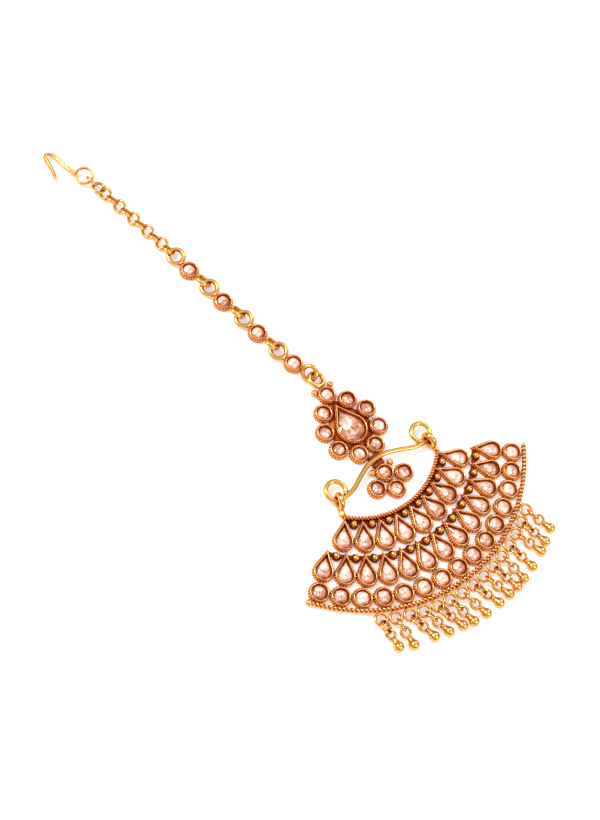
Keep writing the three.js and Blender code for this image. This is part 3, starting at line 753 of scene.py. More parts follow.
def turned_pattern(name, radius, profile, axis, sides=GRAIN_SIDES):
    """A solid turned about Y or Z."""
    rings = []
    for across, along, _ in profile:
        ring = []
        for i in range(sides):
            turn = 2 * math.pi * i / sides
            a, b = across * radius * math.cos(turn), across * radius * math.sin(turn)
            rise = along * radius
            ring.append(Vector((a, b, rise)) if axis == "Z" else Vector((a, rise, -b)))
        rings.append(ring)
    return lofted(name, rings, [row[2] for row in profile for _ in range(sides)])


def ring_pattern(name, radius, wire, sides, wire_sides):
    """A round wire ring, a little darker on its inside."""
    rings = []
    rolls = [2 * math.pi * j / wire_sides for j in range(wire_sides)]
    for i in range(sides):
        turn = 2 * math.pi * i / sides
        out = Vector((math.cos(turn), math.sin(turn), 0.0))
        rings.append([
            out * (radius + wire / 2 * math.cos(roll)) + Vector((0.0, 0.0, wire / 2 * math.sin(roll)))
            for roll in rolls
        ])
    oxide = [RING_OXIDE * max(0.0, -math.cos(roll)) for roll in rolls] * sides
    return lofted(name, rings, oxide, closed=True)


def jump_ring(radius):
    """One of the thick rings and loops that join the links."""
    chain = sizes("chain")
    wire = chain.jump_wire + chain.jump_swell
    return ring_pattern("ring", radius - chain.jump_swell / 2, wire, *JUMP_SIDES)


def section_pattern(name, points, oxide):
    """A closed outline of loose edges, which is then drawn along a path."""
    mesh = bpy.data.meshes.new(name)
    edges = [(i, (i + 1) % len(points)) for i in range(len(points))]
    mesh.from_pydata([(x, y, 0.0) for x, y in points], edges, [])
    mesh.attributes.new("oxide", "FLOAT", "POINT").data.foreach_set("value", oxide)
    return new_object(name, mesh)


def rope_section(name, wire):
    """Two wires laid together, as one outline with a groove on either side."""
    turns = [2 * math.pi * i / ROPE_SIDES for i in range(ROPE_SIDES)]
    shares = [1 - ROPE_WAIST + ROPE_WAIST * math.cos(2 * turn) for turn in turns]
    points = [(s * wire / 2 * math.cos(t), s * wire / 2 * math.sin(t)) for s, t in zip(shares, turns)]
    return section_pattern(name, points, [((1 - s) / (2 * ROPE_WAIST)) ** 2 for s in shares])


def round_section(name, wire):
    turns = [2 * math.pi * i / WIRE_SIDES for i in range(WIRE_SIDES)]
    points = [(wire / 2 * math.cos(t), wire / 2 * math.sin(t)) for t in turns]
    return section_pattern(name, points, [0.0] * len(points))


def strip_section(name, width, thickness):
    x, y, bevel = width / 2, thickness / 2, thickness / 5
    points = [
        (x - bevel, y), (x, y - bevel), (x, bevel - y), (x - bevel, -y),
        (bevel - x, -y), (-x, bevel - y), (-x, y - bevel), (bevel - x, y),
    ]
    return section_pattern(name, points, [1.0] * len(points))


# Node trees that lay out what repeats


class Nodes:
    """Adds nodes to a tree, and sets or links their inputs by name or number."""

    def __init__(self, tree):
        self.tree = tree

    def add(self, kind, inputs=None, **settings):
        node = self.tree.nodes.new(kind)
        for key, value in settings.items():
            setattr(node, key, value)
        for key, value in (inputs or {}).items():
            self.give(node.inputs[key], value)
        return node

    def give(self, socket, value):
        if isinstance(value, bpy.types.NodeSocket):
            self.tree.links.new(value, socket)
        else:
            socket.default_value = value

    def math(self, operation, *values):
        return self.add("ShaderNodeMath", dict(enumerate(values)), operation=operation).outputs[0]


class LayoutTree(Nodes):
    """A geometry tree with named inputs, which makes its copies real at the end and gives them a finish."""

    def __init__(self, name, inputs):
        super().__init__(bpy.data.node_groups.new(name, "GeometryNodeTree"))
        face = self.tree.interface
        face.new_socket("Geometry", in_out="INPUT", socket_type="NodeSocketGeometry")
        for key, kind in inputs.items():
            face.new_socket(key, in_out="INPUT", socket_type=f"NodeSocket{kind}")
        face.new_socket("Finish", in_out="INPUT", socket_type="NodeSocketMaterial")
        face.new_socket("Geometry", in_out="OUTPUT", socket_type="NodeSocketGeometry")
        self.source = self.tree.nodes.new("NodeGroupInput").outputs

    def end(self, geometry):
        real = self.add("GeometryNodeRealizeInstances", {"Geometry": geometry})
        inputs = {"Geometry": real.outputs[0], "Material": self.source["Finish"]}
        finish = self.add("GeometryNodeSetMaterial", inputs)
        last = self.tree.nodes.new("NodeGroupOutput")
        self.tree.links.new(finish.outputs[0], last.inputs[0])

    def copies(self, points, pattern, turn):
        """Copies of a pattern on points, each with a cast of its own between 0 and 1."""
        shape = self.add("GeometryNodeObjectInfo", {"Object": pattern})
        rotation = self.add("FunctionNodeEulerToRotation", {0: turn})
        placed = self.add("GeometryNodeInstanceOnPoints", {
            "Points": points, "Instance": shape.outputs["Geometry"], "Rotation": rotation.outputs[0],
        })
        cast = self.add("FunctionNodeRandomValue", {"Seed": self.source["Seed"]}, data_type="FLOAT")
        store = self.add(
            "GeometryNodeStoreNamedAttribute", {"Geometry": placed.outputs[0], "Name": "cast"},
            data_type="FLOAT", domain="INSTANCE",
        )
        self.tree.links.new(cast.outputs[1], store.inputs["Value"])
        return store.outputs[0]


def row_tree():
    """Copies of a pattern along an arc about the fan's centre, each turned to face it."""
    tree = LayoutTree("fan row", {
        "Pattern": "Object", "Count": "Int", "Radius": "Float", "Pitch": "Float", "Height": "Float",
        "Centre": "Vector", "Seed": "Int",
    })
    given = tree.source
    line = tree.add("GeometryNodeMeshLine", {"Count": given["Count"]})
    number = tree.add("GeometryNodeInputIndex").outputs[0]
    half = tree.math("MULTIPLY", tree.math("SUBTRACT", given["Count"], 1.0), 0.5)
    angle = tree.math("MULTIPLY", tree.math("SUBTRACT", number, half), given["Pitch"])
    x = tree.math("MULTIPLY", tree.math("SINE", angle), given["Radius"])
    y = tree.math("MULTIPLY", tree.math("MULTIPLY", tree.math("COSINE", angle), given["Radius"]), -1.0)
    spot = tree.add("ShaderNodeCombineXYZ", {"X": x, "Y": y, "Z": given["Height"]})
    moved = tree.add("ShaderNodeVectorMath", {0: spot.outputs[0], 1: given["Centre"]}, operation="ADD")
    inputs = {"Geometry": line.outputs[0], "Position": moved.outputs[0]}
    points = tree.add("GeometryNodeSetPosition", inputs)
    turn = tree.add("ShaderNodeCombineXYZ", {"Z": angle})
    tree.end(tree.copies(points.outputs[0], given["Pattern"], turn.outputs[0]))
    return tree.tree


def scatter_tree():
    """Copies of a pattern on the piece's own points, turned by the angles that each point carries."""
    tree = LayoutTree("set at places", {"Pattern": "Object", "Seed": "Int"})
    turn = tree.add("GeometryNodeInputNamedAttribute", {"Name": "turn"}, data_type="FLOAT_VECTOR")
    tree.end(tree.copies(tree.source["Geometry"], tree.source["Pattern"], turn.outputs[0]))
    return tree.tree


def sweep_tree():
    """A section drawn along the piece's own line of edges, twisted evenly from end to end."""
    tree = LayoutTree("drawn wire", {"Section": "Object", "Twist": "Float"})
    given = tree.source
    line = tree.add("GeometryNodeMeshToCurve", {"Mesh": given["Geometry"]})
    share = tree.add("GeometryNodeSplineParameter").outputs["Factor"]
    flat = tree.add("GeometryNodeSetCurveNormal", {0: line.outputs[0]}, mode="Z_UP")
    twisted = tree.add("GeometryNodeSetCurveTilt", {
        "Curve": flat.outputs[0], "Tilt": tree.math("MULTIPLY", share, given["Twist"]),
    })
    shape = tree.add("GeometryNodeObjectInfo", {"Object": given["Section"]})
    section = tree.add("GeometryNodeMeshToCurve", {"Mesh": shape.outputs["Geometry"]})
    drawn = tree.add("GeometryNodeCurveToMesh", {
        "Curve": twisted.outputs[0], "Profile Curve": section.outputs[0], "Fill Caps": True,
    })
    soft = tree.add("GeometryNodeSetShadeSmooth", {"Geometry": drawn.outputs[0]})
    tree.end(soft.outputs[0])
    return tree.tree


TREES = {"row": row_tree, "scatter": scatter_tree, "sweep": sweep_tree}
BUILT_TREES = {}


def layout(name):
    """A layout tree, built the first time that it is asked for."""
    if name not in BUILT_TREES:
        BUILT_TREES[name] = TREES[name]()
    return BUILT_TREES[name]


def laid_out(name, kind, source, inputs, pattern):
    """Runs a layout tree on a source mesh, keeps the plain mesh that comes out and drops the pattern."""
    piece = new_object(name, source)
    tree = layout(kind)
    modifier = piece.modifiers.new("layout", "NODES")
    modifier.node_group = tree
    for item in tree.interface.items_tree:
        if item.item_type == "SOCKET" and item.in_out == "INPUT" and item.name in inputs:
            modifier[item.identifier] = inputs[item.name]
    bpy.context.view_layer.update()
    ready = piece.evaluated_get(bpy.context.evaluated_depsgraph_get())
    mesh = bpy.data.meshes.new_from_object(ready)
    piece.modifiers.clear()
    piece.data = mesh
    mesh.name = name
    bpy.data.objects.remove(pattern)
    if not mesh.polygons:
        raise RuntimeError(f"{name} came out empty")
    return piece


def fan_row(name, pattern, number, radius, pitch, finish, height=0.0):
    """Copies of a pattern along an arc of the fan."""
    empty = bpy.data.meshes.new(name)
    return laid_out(name, "row", empty, {
        "Pattern": pattern, "Count": number, "Radius": radius, "Pitch": pitch, "Height": height,
        "Centre": tuple(fan_centre()), "Seed": SEEDS.get(name, 1), "Finish": finish,
    }, pattern)


def set_at(name, pattern, places, finish):
    """Copies of a pattern at a list of places."""
    source = bpy.data.meshes.new(name)
    source.from_pydata([tuple(spot.translation) for spot in places], [], [])
    turns = [angle for spot in places for angle in spot.to_euler()]
    source.attributes.new("turn", "FLOAT_VECTOR", "POINT").data.foreach_set("vector", turns)
    inputs = {"Pattern": pattern, "Seed": SEEDS.get(name, 1), "Finish": finish}
    return laid_out(name, "scatter", source, inputs, pattern)


def drawn(name, lines, section, finish, twist=0.0):
    """A section drawn along one or more lines of points."""
    source = bpy.data.meshes.new(name)
    points, edges = [], []
    for line in lines:
        start = len(points)
        points += [tuple(p) for p in line]
        edges += [(start + i, start + i + 1) for i in range(len(line) - 1)]
    source.from_pydata(points, edges, [])
    inputs = {"Section": section, "Twist": twist, "Finish": finish}
    return laid_out(name, "sweep", source, inputs, section)


# Finishes


def oxide_and_shade_group():
    """Where oxide lies, in the pieces' own hollows and in soft patches, and where painted shade darkens the
    corners between them.
    """
    name = "oxide_and_shade"
    if name in bpy.data.node_groups:
        return bpy.data.node_groups[name]
    group = bpy.data.node_groups.new(name, "ShaderNodeTree")
    face = group.interface
    for key, value in (("Hollows", 1.0), ("Corners", 0.8), ("Patches", 0.2), ("Grain size", 900.0)):
        face.new_socket(key, in_out="INPUT", socket_type="NodeSocketFloat").default_value = value
    for key in ("Mask", "Height", "Roughness"):
        face.new_socket(key, in_out="OUTPUT", socket_type="NodeSocketFloat")
    nodes = Nodes(group)
    given = nodes.add("NodeGroupInput").outputs
    hollow = nodes.add("ShaderNodeAttribute", attribute_name="oxide").outputs["Fac"]
    # Painted shade: an occlusion node darkens the corners between pieces.
    corner = nodes.add("ShaderNodeAmbientOcclusion", {"Distance": CORNER_REACH}, samples=6).outputs["AO"]
    where = nodes.add("ShaderNodeTexCoord").outputs["Object"]
    patch = nodes.add("ShaderNodeTexNoise", {"Vector": where, "Scale": given["Grain size"], "Detail": 3.0})
    scratch = nodes.add("ShaderNodeTexNoise", {"Vector": where, "Scale": 6000.0, "Detail": 2.0})
    dark = nodes.math("MULTIPLY", hollow, given["Hollows"])
    shade = nodes.math("MULTIPLY", nodes.math("SUBTRACT", 1.0, corner), given["Corners"])
    patch = nodes.math("SUBTRACT", patch.outputs["Fac"], PATCH_MIDDLE)
    cloud = nodes.math("MULTIPLY", patch, given["Patches"])
    mask = nodes.math("ADD", nodes.math("ADD", dark, shade), cloud)
    mask = nodes.add("ShaderNodeClamp", {"Value": mask}).outputs[0]
    last = nodes.add("NodeGroupOutput")
    nodes.give(last.inputs["Mask"], mask)
    nodes.give(last.inputs["Height"], scratch.outputs["Fac"])
    rough = nodes.add("ShaderNodeMapRange", {"Value": mask, "To Min": 0.2, "To Max": 0.55}).outputs[0]
    nodes.give(last.inputs["Roughness"], rough)
    return group


def new_material(name):
    material = bpy.data.materials.new(name)
    material.use_nodes = True
    nodes = Nodes(material.node_tree)
    shader = material.node_tree.nodes["Principled BSDF"]
    return material, nodes, shader


def ramp(nodes, factor, stops):
    node = nodes.add("ShaderNodeValToRGB", {"Fac": factor})
    elements = node.color_ramp.elements
    for _ in range(len(stops) - 2):
        elements.new(0.5)
    for element, (position, colour_value) in zip(elements, stops):
        element.position = position
        element.color = (*colour_value, 1.0)
    return node.outputs["Color"]


def plated_metal(name, stops, hollows, corners, patches, sides):
    """Plated brass, from its rubbed edges to the oxide in its hollows, with painted shade on the sides that
    turn away from the camera.
    """
    if name in bpy.data.materials:
        return bpy.data.materials[name]
    material, nodes, shader = new_material(name)
    oxide_and_shade = nodes.add("ShaderNodeGroup", node_tree=oxide_and_shade_group())
    for key, value in (("Hollows", hollows), ("Corners", corners), ("Patches", patches)):
        oxide_and_shade.inputs[key].default_value = value
    # Painted shade: the sides that turn away from the camera are darkened.
    turned = nodes.add("ShaderNodeLayerWeight", {"Blend": 0.5}).outputs["Facing"]
    shade = nodes.math("MULTIPLY_ADD", nodes.math("POWER", turned, 2.0), sides, oxide_and_shade.outputs["Mask"])
    nodes.give(shader.inputs["Base Color"], ramp(nodes, shade, stops))
    nodes.give(shader.inputs["Roughness"], oxide_and_shade.outputs["Roughness"])
    shader.inputs["Metallic"].default_value = 1.0
    shader.inputs["Specular Tint"].default_value = (1.0, 0.75, 0.5, 1.0)
    bump = nodes.add("ShaderNodeBump", {
        "Height": oxide_and_shade.outputs["Height"], "Strength": 0.12, "Distance": SCRATCH_DEPTH,
    })
    nodes.give(shader.inputs["Normal"], bump.outputs[0])
    return material


def antique_gold():
    finish = sizes("finish")
    stops = [(0.1, finish.copper_gold), (0.5, finish.worn_copper), (1.0, finish.oxide)]
    # corners sets the painted shade in the corners between pieces, and sides the painted shade on the sides
    # turned from the camera.
    return plated_metal("antique gold", stops, hollows=0.9, corners=0.35, patches=0.3, sides=0.05)


def bright_gold():
    finish = sizes("finish")
    stops = [(0.05, finish.bright_gold), (0.45, finish.deep_gold_and_side_shade), (1.0, finish.oxide)]
    # corners sets the painted shade in the corners between pieces, and sides the painted shade on the sides
    # turned from the camera.
    return plated_metal("bright gold", stops, hollows=0.9, corners=0.6, patches=0.4, sides=0.6)


def cut_stone():
    """Foil-backed stone: each facet carries painted light and shade, between a pale and a deep pink, and each
    stone a cast.
    """
    name = "champagne stone"
    if name in bpy.data.materials:
        return bpy.data.materials[name]
    finish = sizes("finish")
    material, nodes, shader = new_material(name)
    tone = nodes.add("ShaderNodeAttribute", attribute_name="tone").outputs["Fac"]
    cast = nodes.add("ShaderNodeAttribute", attribute_name="cast").outputs["Fac"]
    where = nodes.add("ShaderNodeTexCoord").outputs["Object"]
    # Painted sparkle: noise lightens and darkens spots inside each stone.
    fire = nodes.add("ShaderNodeTexNoise", {"Vector": where, "Scale": 700.0, "Detail": 1.0})
    lean = nodes.math("MULTIPLY", nodes.math("SUBTRACT", cast, 0.5), STONE_CAST)
    spark = nodes.math("MULTIPLY", nodes.math("SUBTRACT", fire.outputs["Fac"], 0.5), STONE_FIRE)
    mixed = nodes.math("ADD", nodes.math("ADD", tone, lean), spark)
    stops = [
        (0.05, finish.deep_stone), (0.38, finish.pink_stone),
        (0.62, finish.rose_stone), (0.85, finish.pale_stone),
    ]
    nodes.give(shader.inputs["Base Color"], ramp(nodes, mixed, stops))
    shader.inputs["Roughness"].default_value = 0.06
    shader.inputs["IOR"].default_value = 1.6
    shader.inputs["Coat Weight"].default_value = 0.3
    shader.inputs["Coat Roughness"].default_value = 0.03
    return material


# Handing pieces over


def settle(slot, pieces, *nodes):
    """Gives finished pieces to the jewel's one body; the slot is not used. The first stands for the solids
    named.
    """
    for piece in pieces:
        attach(piece, BODY)
    if nodes:
        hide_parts(*nodes)


def numbered(stem, number, digits=1):
    return [f"{stem}_{i + 1:0{digits}d}" for i in range(number)]


class TIKKA_OT_fan_settings(bpy.types.Operator):
    """Builds the fan's pear and round settings."""

    bl_idname = "tikka.fan_settings"
    bl_label = "Fan settings"
    bl_options = {"REGISTER", "UNDO"}

    def execute(self, context):
        rows = [
            fan_row(f"{name}_settings", setting_pattern(name, *shape), *row, antique_gold())
            for name, shape, row in FanRows().table
        ]
        settle("antique_gold", rows, "fan")
        return {"FINISHED"}


class TIKKA_OT_fan_stones(bpy.types.Operator):
    """Cuts and sets the fan's 37 stones."""

    bl_idname = "tikka.fan_stones"
    bl_label = "Fan stones"
    bl_options = {"REGISTER", "UNDO"}

    def execute(self, context):
        settle("cut_stone", [
            fan_row(f"{name}_stones", stone_pattern(name, *shape), *row, cut_stone())
            for name, shape, row in FanRows().table
        ])
        return {"FINISHED"}


class TIKKA_OT_fan_wires(bpy.types.Operator):
    """Twists the two rope wires, bends the strips that tie the pears and melts the knob at a rope's end."""

    bl_idname = "tikka.fan_wires"
    bl_label = "Fan wires"
    bl_options = {"REGISTER", "UNDO"}

    def arc(self, radius, half, height, spacing):
        steps = round(2 * half * radius / spacing)
        centre = fan_centre()
        return [centre + on_fan(radius, half * (2 * i / steps - 1), height) for i in range(steps + 1)]

    def rope(self, name, radius, half, wire, pitch):
        fan = sizes("fan")
        line = self.arc(radius, half, fan.rope_height, pitch / TWIST_STEPS)
        twist = 2 * half * radius / pitch * 2 * math.pi
        section = rope_section("section", wire + fan.rope_swell)
        return drawn(name, [line], section, antique_gold(), twist)

    def execute(self, context):
        fan, rows = sizes("fan"), FanRows()
        radius = fan.inner_radius + fan.rope_shift
        inner = self.rope("inner_rope", radius, rows.inner_half, fan.inner_rope, fan.inner_twist)
        outer = self.rope("outer_rope", rows.outer_rope, rows.outer_half, fan.outer_rope, fan.outer_twist)
        strips = []
        for radius, number, pitch in (
            (rows.inner_tips + fan.inner_band, fan.inner_pears, rows.inner_pitch),
            (rows.outer_tips + fan.outer_band, fan.outer_pears, rows.outer_pitch),
        ):
            height = fan.band_thickness / 2 + sizes("setting").back_lift
            strips.append(self.arc(radius, (number - 1) / 2 * pitch, height, BAND_STEP))
        section = strip_section("section", fan.band_width, fan.band_thickness)
        bands = drawn("tie_strips", strips, section, antique_gold())
        end = fan_centre() + on_fan(rows.outer_rope, fan.knob_inset / rows.outer_rope - rows.outer_half)
        ball = turned_pattern("knob", fan.knob, KNOB_PROFILE, "Z")
        knob = set_at("rope_knob", ball, [place(end, fan.rope_height)], antique_gold())
        settle("antique_gold", (inner, outer, bands, knob))
        return {"FINISHED"}


class TIKKA_OT_grains(bpy.types.Operator):
    """Sets the grains between the pears and beside the pendant's and the flower's top rounds."""

    bl_idname = "tikka.grains"
    bl_label = "Grains"
    bl_options = {"REGISTER", "UNDO"}

    def execute(self, context):
        fan, pendant, rows, gold = sizes("fan"), sizes("pendant"), FanRows(), bright_gold()
        height = fan.band_thickness + fan.grain * GRAIN_SEAT
        grains = []
        for name, pears, tips, pitch in (
            ("inner_grains", fan.inner_pears, rows.inner_tips, rows.inner_pitch),
            ("outer_grains", fan.outer_pears, rows.outer_tips, rows.outer_pitch),
        ):
            grain = turned_pattern("grain", fan.grain, SEATED_GRAIN_PROFILE, "Z")
            grains.append(fan_row(name, grain, pears - 1, tips + fan.grain_offset, pitch, gold, height))
        pear = pendant_place()
        places = []
        for round_at, across, up in (
            (pendant_rounds()[0], pendant.grain_across, pendant.grain_up),
            (flower_rounds()[0], pendant.flower_grain_across, pendant.flower_grain_up),
        ):
            for side in (-1, 1):
                at = pear @ (round_at + Vector((side * across, up, 0.0)))
                places.append(place(at, fan.grain))
        grain = turned_pattern("grain", fan.grain, GRAIN_PROFILE, "Z")
        grains.append(set_at("pendant_grains", grain, places, gold))
        settle("bright_gold", grains)
        return {"FINISHED"}


class TIKKA_OT_bails(bpy.types.Operator):
    """Stands the two bails on the ends of the inner rope."""

    bl_idname = "tikka.bails"
    bl_label = "Bails"
    bl_options = {"REGISTER", "UNDO"}

    def execute(self, context):
        fan = sizes("fan")
        found = bail_places()
        wire = fan.bail_wire + fan.bail_swell
        ring = ring_pattern("bail", fan.bail_radius - fan.bail_swell / 2, wire, *BAIL_SIDES)
        rings = set_at("bails", ring, [spot for spot, _, _ in found], bright_gold())
        lines = []
        reach = fan.bail_radius * math.sqrt(0.5)  # a post leaves its bail at 45 degrees
        for spot, corner, away in found:
            foot = spot.translation + away * reach
            foot.z = spot.translation.z - reach
            end = Vector((corner.x, corner.y, fan.rope_height))
            lines.append([foot.lerp(end, i / POST_STEPS) for i in range(POST_STEPS + 1)])
        posts = drawn("bail_posts", lines, round_section("section", wire), bright_gold())
        settle("bright_gold", (rings, posts))
        return {"FINISHED"}


class TIKKA_OT_fringe(bpy.types.Operator):
    """Hangs the fringe: a ring, a link and a ball drop with its eye, fifteen times."""

    bl_idname = "tikka.fringe"
    bl_label = "Fringe"
    bl_options = {"REGISTER", "UNDO"}

    def execute(self, context):
        fringe, radius, gold = sizes("fringe"), FanRows().fringe, bright_gold()
        number, pitch = len(FRINGE_STRANDS), fringe.pitch / radius
        wire = fringe.wire + fringe.swell
        ring = ring_pattern("ring", fringe.ring, wire, *FRINGE_SIDES)
        rings = fan_row("fringe_rings", ring, number, radius, pitch, gold, fringe.ring_height)
        pull = pulled_apart(fringe.ring, fringe.wire, fringe.link, fringe.wire, sizes("chain").wire_gap)
        hooked = fringe.link + fringe.eye - fringe.wire / 2 - fringe.eye_wire / 2 - EYE_PLAY
        link_places, eye_places, ball_places = [], [], []
        for angle, (heading, tip) in zip(row_angles(number, pitch), FRINGE_STRANDS):
            heading, tip = math.radians(heading), math.radians(tip)
            top = fan_centre() + on_fan(radius, angle)
            height = max(fringe.box_ball, fringe.link * math.sin(tip) + wire / 2)
            link_places.append(place(onward(top, -pull, heading), height, heading, tip))
            upright = tip - math.pi / 2
            height = max(fringe.box_ball, (fringe.eye + fringe.eye_wire / 2) * math.sin(-upright))
            eye_places.append(place(onward(top, -pull - hooked, heading), height, heading, upright))
            at = onward(top, -pull - fringe.link - fringe.stem - fringe.box_ball, heading)
            ball_places.append(place(at, fringe.box_ball, heading))
        link = ring_pattern("link", fringe.link, wire, *FRINGE_SIDES)
        eye = ring_pattern("eye", fringe.eye, fringe.eye_wire, *EYE_SIDES)
        ball = turned_pattern("ball", fringe.ball, DROP_PROFILE, "Y", BALL_SIDES)
        links = set_at("fringe_links", link, link_places, gold)
        eyes = set_at("fringe_eyes", eye, eye_places, gold)
        balls = set_at("fringe_balls", ball, ball_places, gold)
        settle("bright_gold", (links, rings, eyes, balls), *numbered("fringe_drop", number, digits=2))
        return {"FINISHED"}


class TIKKA_OT_pendant(bpy.types.Operator):
    """Builds the pendant: the large pear, its nine rounds, the flower, the back plate and the top ring."""

    bl_idname = "tikka.pendant"
    bl_label = "Pendant"
    bl_options = {"REGISTER", "UNDO"}

    def execute(self, context):
        pendant, chain, gold = sizes("pendant"), sizes("chain"), antique_gold()
        pear = pendant_place()
        places = [place(pear @ spot, turn=-pendant.lean) for spot in pendant_rounds() + flower_rounds()]
        rounds = set_at("pendant_settings", setting_pattern("round", pendant.round), places, gold)
        cup = setting_pattern("pear", pendant.pear_bulb, pendant.pear_tip)
        large = set_at("pear_setting", cup, [pear], gold)
        plate = set_at("back_plate", self.plate(), [pear], gold)
        ring_at = pear @ Vector((0.0, top_ring_at(), 0.0))
        spot = place(ring_at, chain.ring_height, -pendant.lean, chain.top_ring_tilt)
        top = set_at("top_ring", jump_ring(chain.top_ring), [spot], bright_gold())
        settle("antique_gold", (rounds, large, plate), "pendant_frame")
        settle("bright_gold", [top])
        return {"FINISHED"}

    def plate(self):
        pendant = sizes("pendant")
        bulb = pendant.plate_bulb
        edge = outline(bulb, bulb * pendant.pear_tip / pendant.pear_bulb, PLATE_SIDES)
        levels = bevelled(pendant.plate_thickness)
        rings = [scaled(edge, 1 - inset / bulb, height) for inset, height in levels]
        return lofted("plate", rings, [BACK_OXIDE] * len(levels) * len(edge))


class TIKKA_OT_pendant_stones(bpy.types.Operator):
    """Cuts and sets the pendant's and the flower's stones."""

    bl_idname = "tikka.pendant_stones"
    bl_label = "Pendant stones"
    bl_options = {"REGISTER", "UNDO"}

    def execute(self, context):
        pendant, stone = sizes("pendant"), cut_stone()
        pear = pendant_place()
        for stem, spots in (("pendant_stone", pendant_rounds()), ("flower_stone", flower_rounds())):
            places = [place(pear @ spot, turn=math.radians(STONE_TURN * i)) for i, spot in enumerate(spots)]
            piece = set_at(f"{stem}s", stone_pattern("stone", pendant.round), places, stone)
            settle("cut_stone", [piece], *numbered(stem, len(spots)))
        large = stone_pattern("stone", pendant.pear_bulb, pendant.pear_tip)
        settle("cut_stone", [set_at("pear_stone", large, [pear], stone)], "pendant_pear_stone")
        return {"FINISHED"}


class TIKKA_OT_bow(bpy.types.Operator):
    """Bends the bow wire with its two loops, and sets the bar under it."""

    bl_idname = "tikka.bow"
    bl_label = "Bow"
    bl_options = {"REGISTER", "UNDO"}

    def execute(self, context):
        pendant = sizes("pendant")
        at = bow_place()
        line = [at @ point for point in smooth_path(bow_points(), BOW_STEPS)]
        section = round_section("section", pendant.bow_wire + pendant.bow_swell)
        wire = drawn("bow_wire", [line], section, bright_gold())
        settle("bright_gold", [wire])
        settle("antique_gold", [self.neck()])
        return {"FINISHED"}

    def neck(self):
        """The bar under the bow, from the pendant's lowest rounds to the flower's first."""
        pendant, pear = sizes("pendant"), pendant_place()
        last, first = pendant_rounds()[-1], flower_rounds()[0]
        half = pendant.neck_width / 2
        top = last.y + pendant.neck_lap - math.sqrt(pendant.round ** 2 - (last.x - half) ** 2)
        foot = first.y + pendant.round - pendant.neck_lap
        rings = []
        for inset, z in bevelled(pendant.bow_height - pendant.bow_wire / 2 + solder_lap()):
            x = half - inset
            corners = [(-x, foot), (x, foot), (x, top), (-x, top)]
            rings.append([pear @ Vector((*corner, z)) for corner in corners])
        neck = lofted("bow_neck", rings, [BACK_OXIDE] * len(rings) * len(corners), smooth=False)
        neck.data.materials.append(antique_gold())
        return neck


class TIKKA_OT_stone_links(bpy.types.Operator):
    """Builds the four stone links with their rings, side loops and stones."""

    bl_idname = "tikka.stone_links"
    bl_label = "Stone links"
    bl_options = {"REGISTER", "UNDO"}

    def execute(self, context):
        chain, spots = sizes("chain"), ChainPlaces()
        places, ring_places, loop_places = [], [], []
        radius = chain.side_loop - chain.jump_swell / 2
        for spot, tilt in spots.stone_links:
            places.append(spot)
            turn = spot.to_euler().z
            at = spot @ Vector((0.0, spots.ring_at, 0.0))
            ring_places.append(place(at, chain.ring_height, turn, chain.ring_tilt))
            at = spot @ Vector((0.0, -spots.loop_at, 0.0))
            height = radius * math.sin(abs(tilt)) + (chain.jump_wire + chain.jump_swell) / 2
            loop_places.append(place(at, height, turn, tilt))
        cup = setting_pattern("round", chain.link_round)
        cups = set_at("stone_link_settings", cup, places, antique_gold())
        gems = set_at("link_stones", stone_pattern("stone", chain.link_round), places, cut_stone())
        rings = set_at("stone_link_rings", jump_ring(chain.ring), ring_places, bright_gold())
        loops = set_at("stone_link_loops", jump_ring(chain.side_loop), loop_places, bright_gold())
        settle("antique_gold", [cups], *numbered("stone_link", len(places)))
        settle("cut_stone", [gems], *numbered("link_stone", len(places)))
        settle("bright_gold", (rings, loops))
        return {"FINISHED"}


class TIKKA_OT_cable_chain(bpy.types.Operator):
    """Links the thin chain."""

    bl_idname = "tikka.cable_chain"
    bl_label = "Cable chain"
    bl_options = {"REGISTER", "UNDO"}

    def execute(self, context):
        chain = sizes("chain")
        wire = chain.cable_wire + chain.cable_swell
        link = ring_pattern("link", chain.cable_radius, wire, *CABLE_SIDES)
        settle("bright_gold", [set_at("thin_chain", link, ChainPlaces().cable, bright_gold())], "cable_chain")
        return {"FINISHED"}


class TIKKA_OT_hair_hook(bpy.types.Operator):
    """Bends the hook from one doubled wire, with a ring at its middle."""

    bl_idname = "tikka.hair_hook"
    bl_label = "Hair hook"
    bl_options = {"REGISTER", "UNDO"}

    def execute(self, context):
        chain = sizes("chain")
        at = ChainPlaces().hook
        knots = [Vector((x * chain.hook_width, y * chain.hook_length, 0.0)) for x, y in HOOK_PATH]
        line = smooth_path(knots, HOOK_STEPS)
        up = Vector((0.0, 0.0, 1.0))
        last = len(line) - 1
        wires = []
        for side in (-1, 1):
            wire = []
            for i, point in enumerate(line):
                along = (line[min(i + 1, last)] - line[max(i - 1, 0)]).normalized()
                share = min(1.0, max(0.0, (i / last - LEAN_FROM) / LEAN_OVER))
                share = share * share * (3 - 2 * share)
                lean = chain.shank_lean + (chain.leg_lean - chain.shank_lean) * share
                offset = up.cross(along) * math.cos(lean) + up * math.sin(lean)
                wire.append(at @ (point + offset * side * (chain.hook_wire / 2 - HOOK_LAP)))
            wires.append(wire)
        legs = drawn("hook_wires", wires, round_section("section", chain.hook_wire), bright_gold())
        eye = ring_pattern("ring", chain.hook_ring, chain.hook_wire, *HOOK_SIDES)
        spot = at @ Euler((0.0, chain.hook_ring_tilt, 0.0)).to_matrix().to_4x4()
        settle("bright_gold", (legs, set_at("hook_ring", eye, [spot], bright_gold())), "hair_hook")
        return {"FINISHED"}


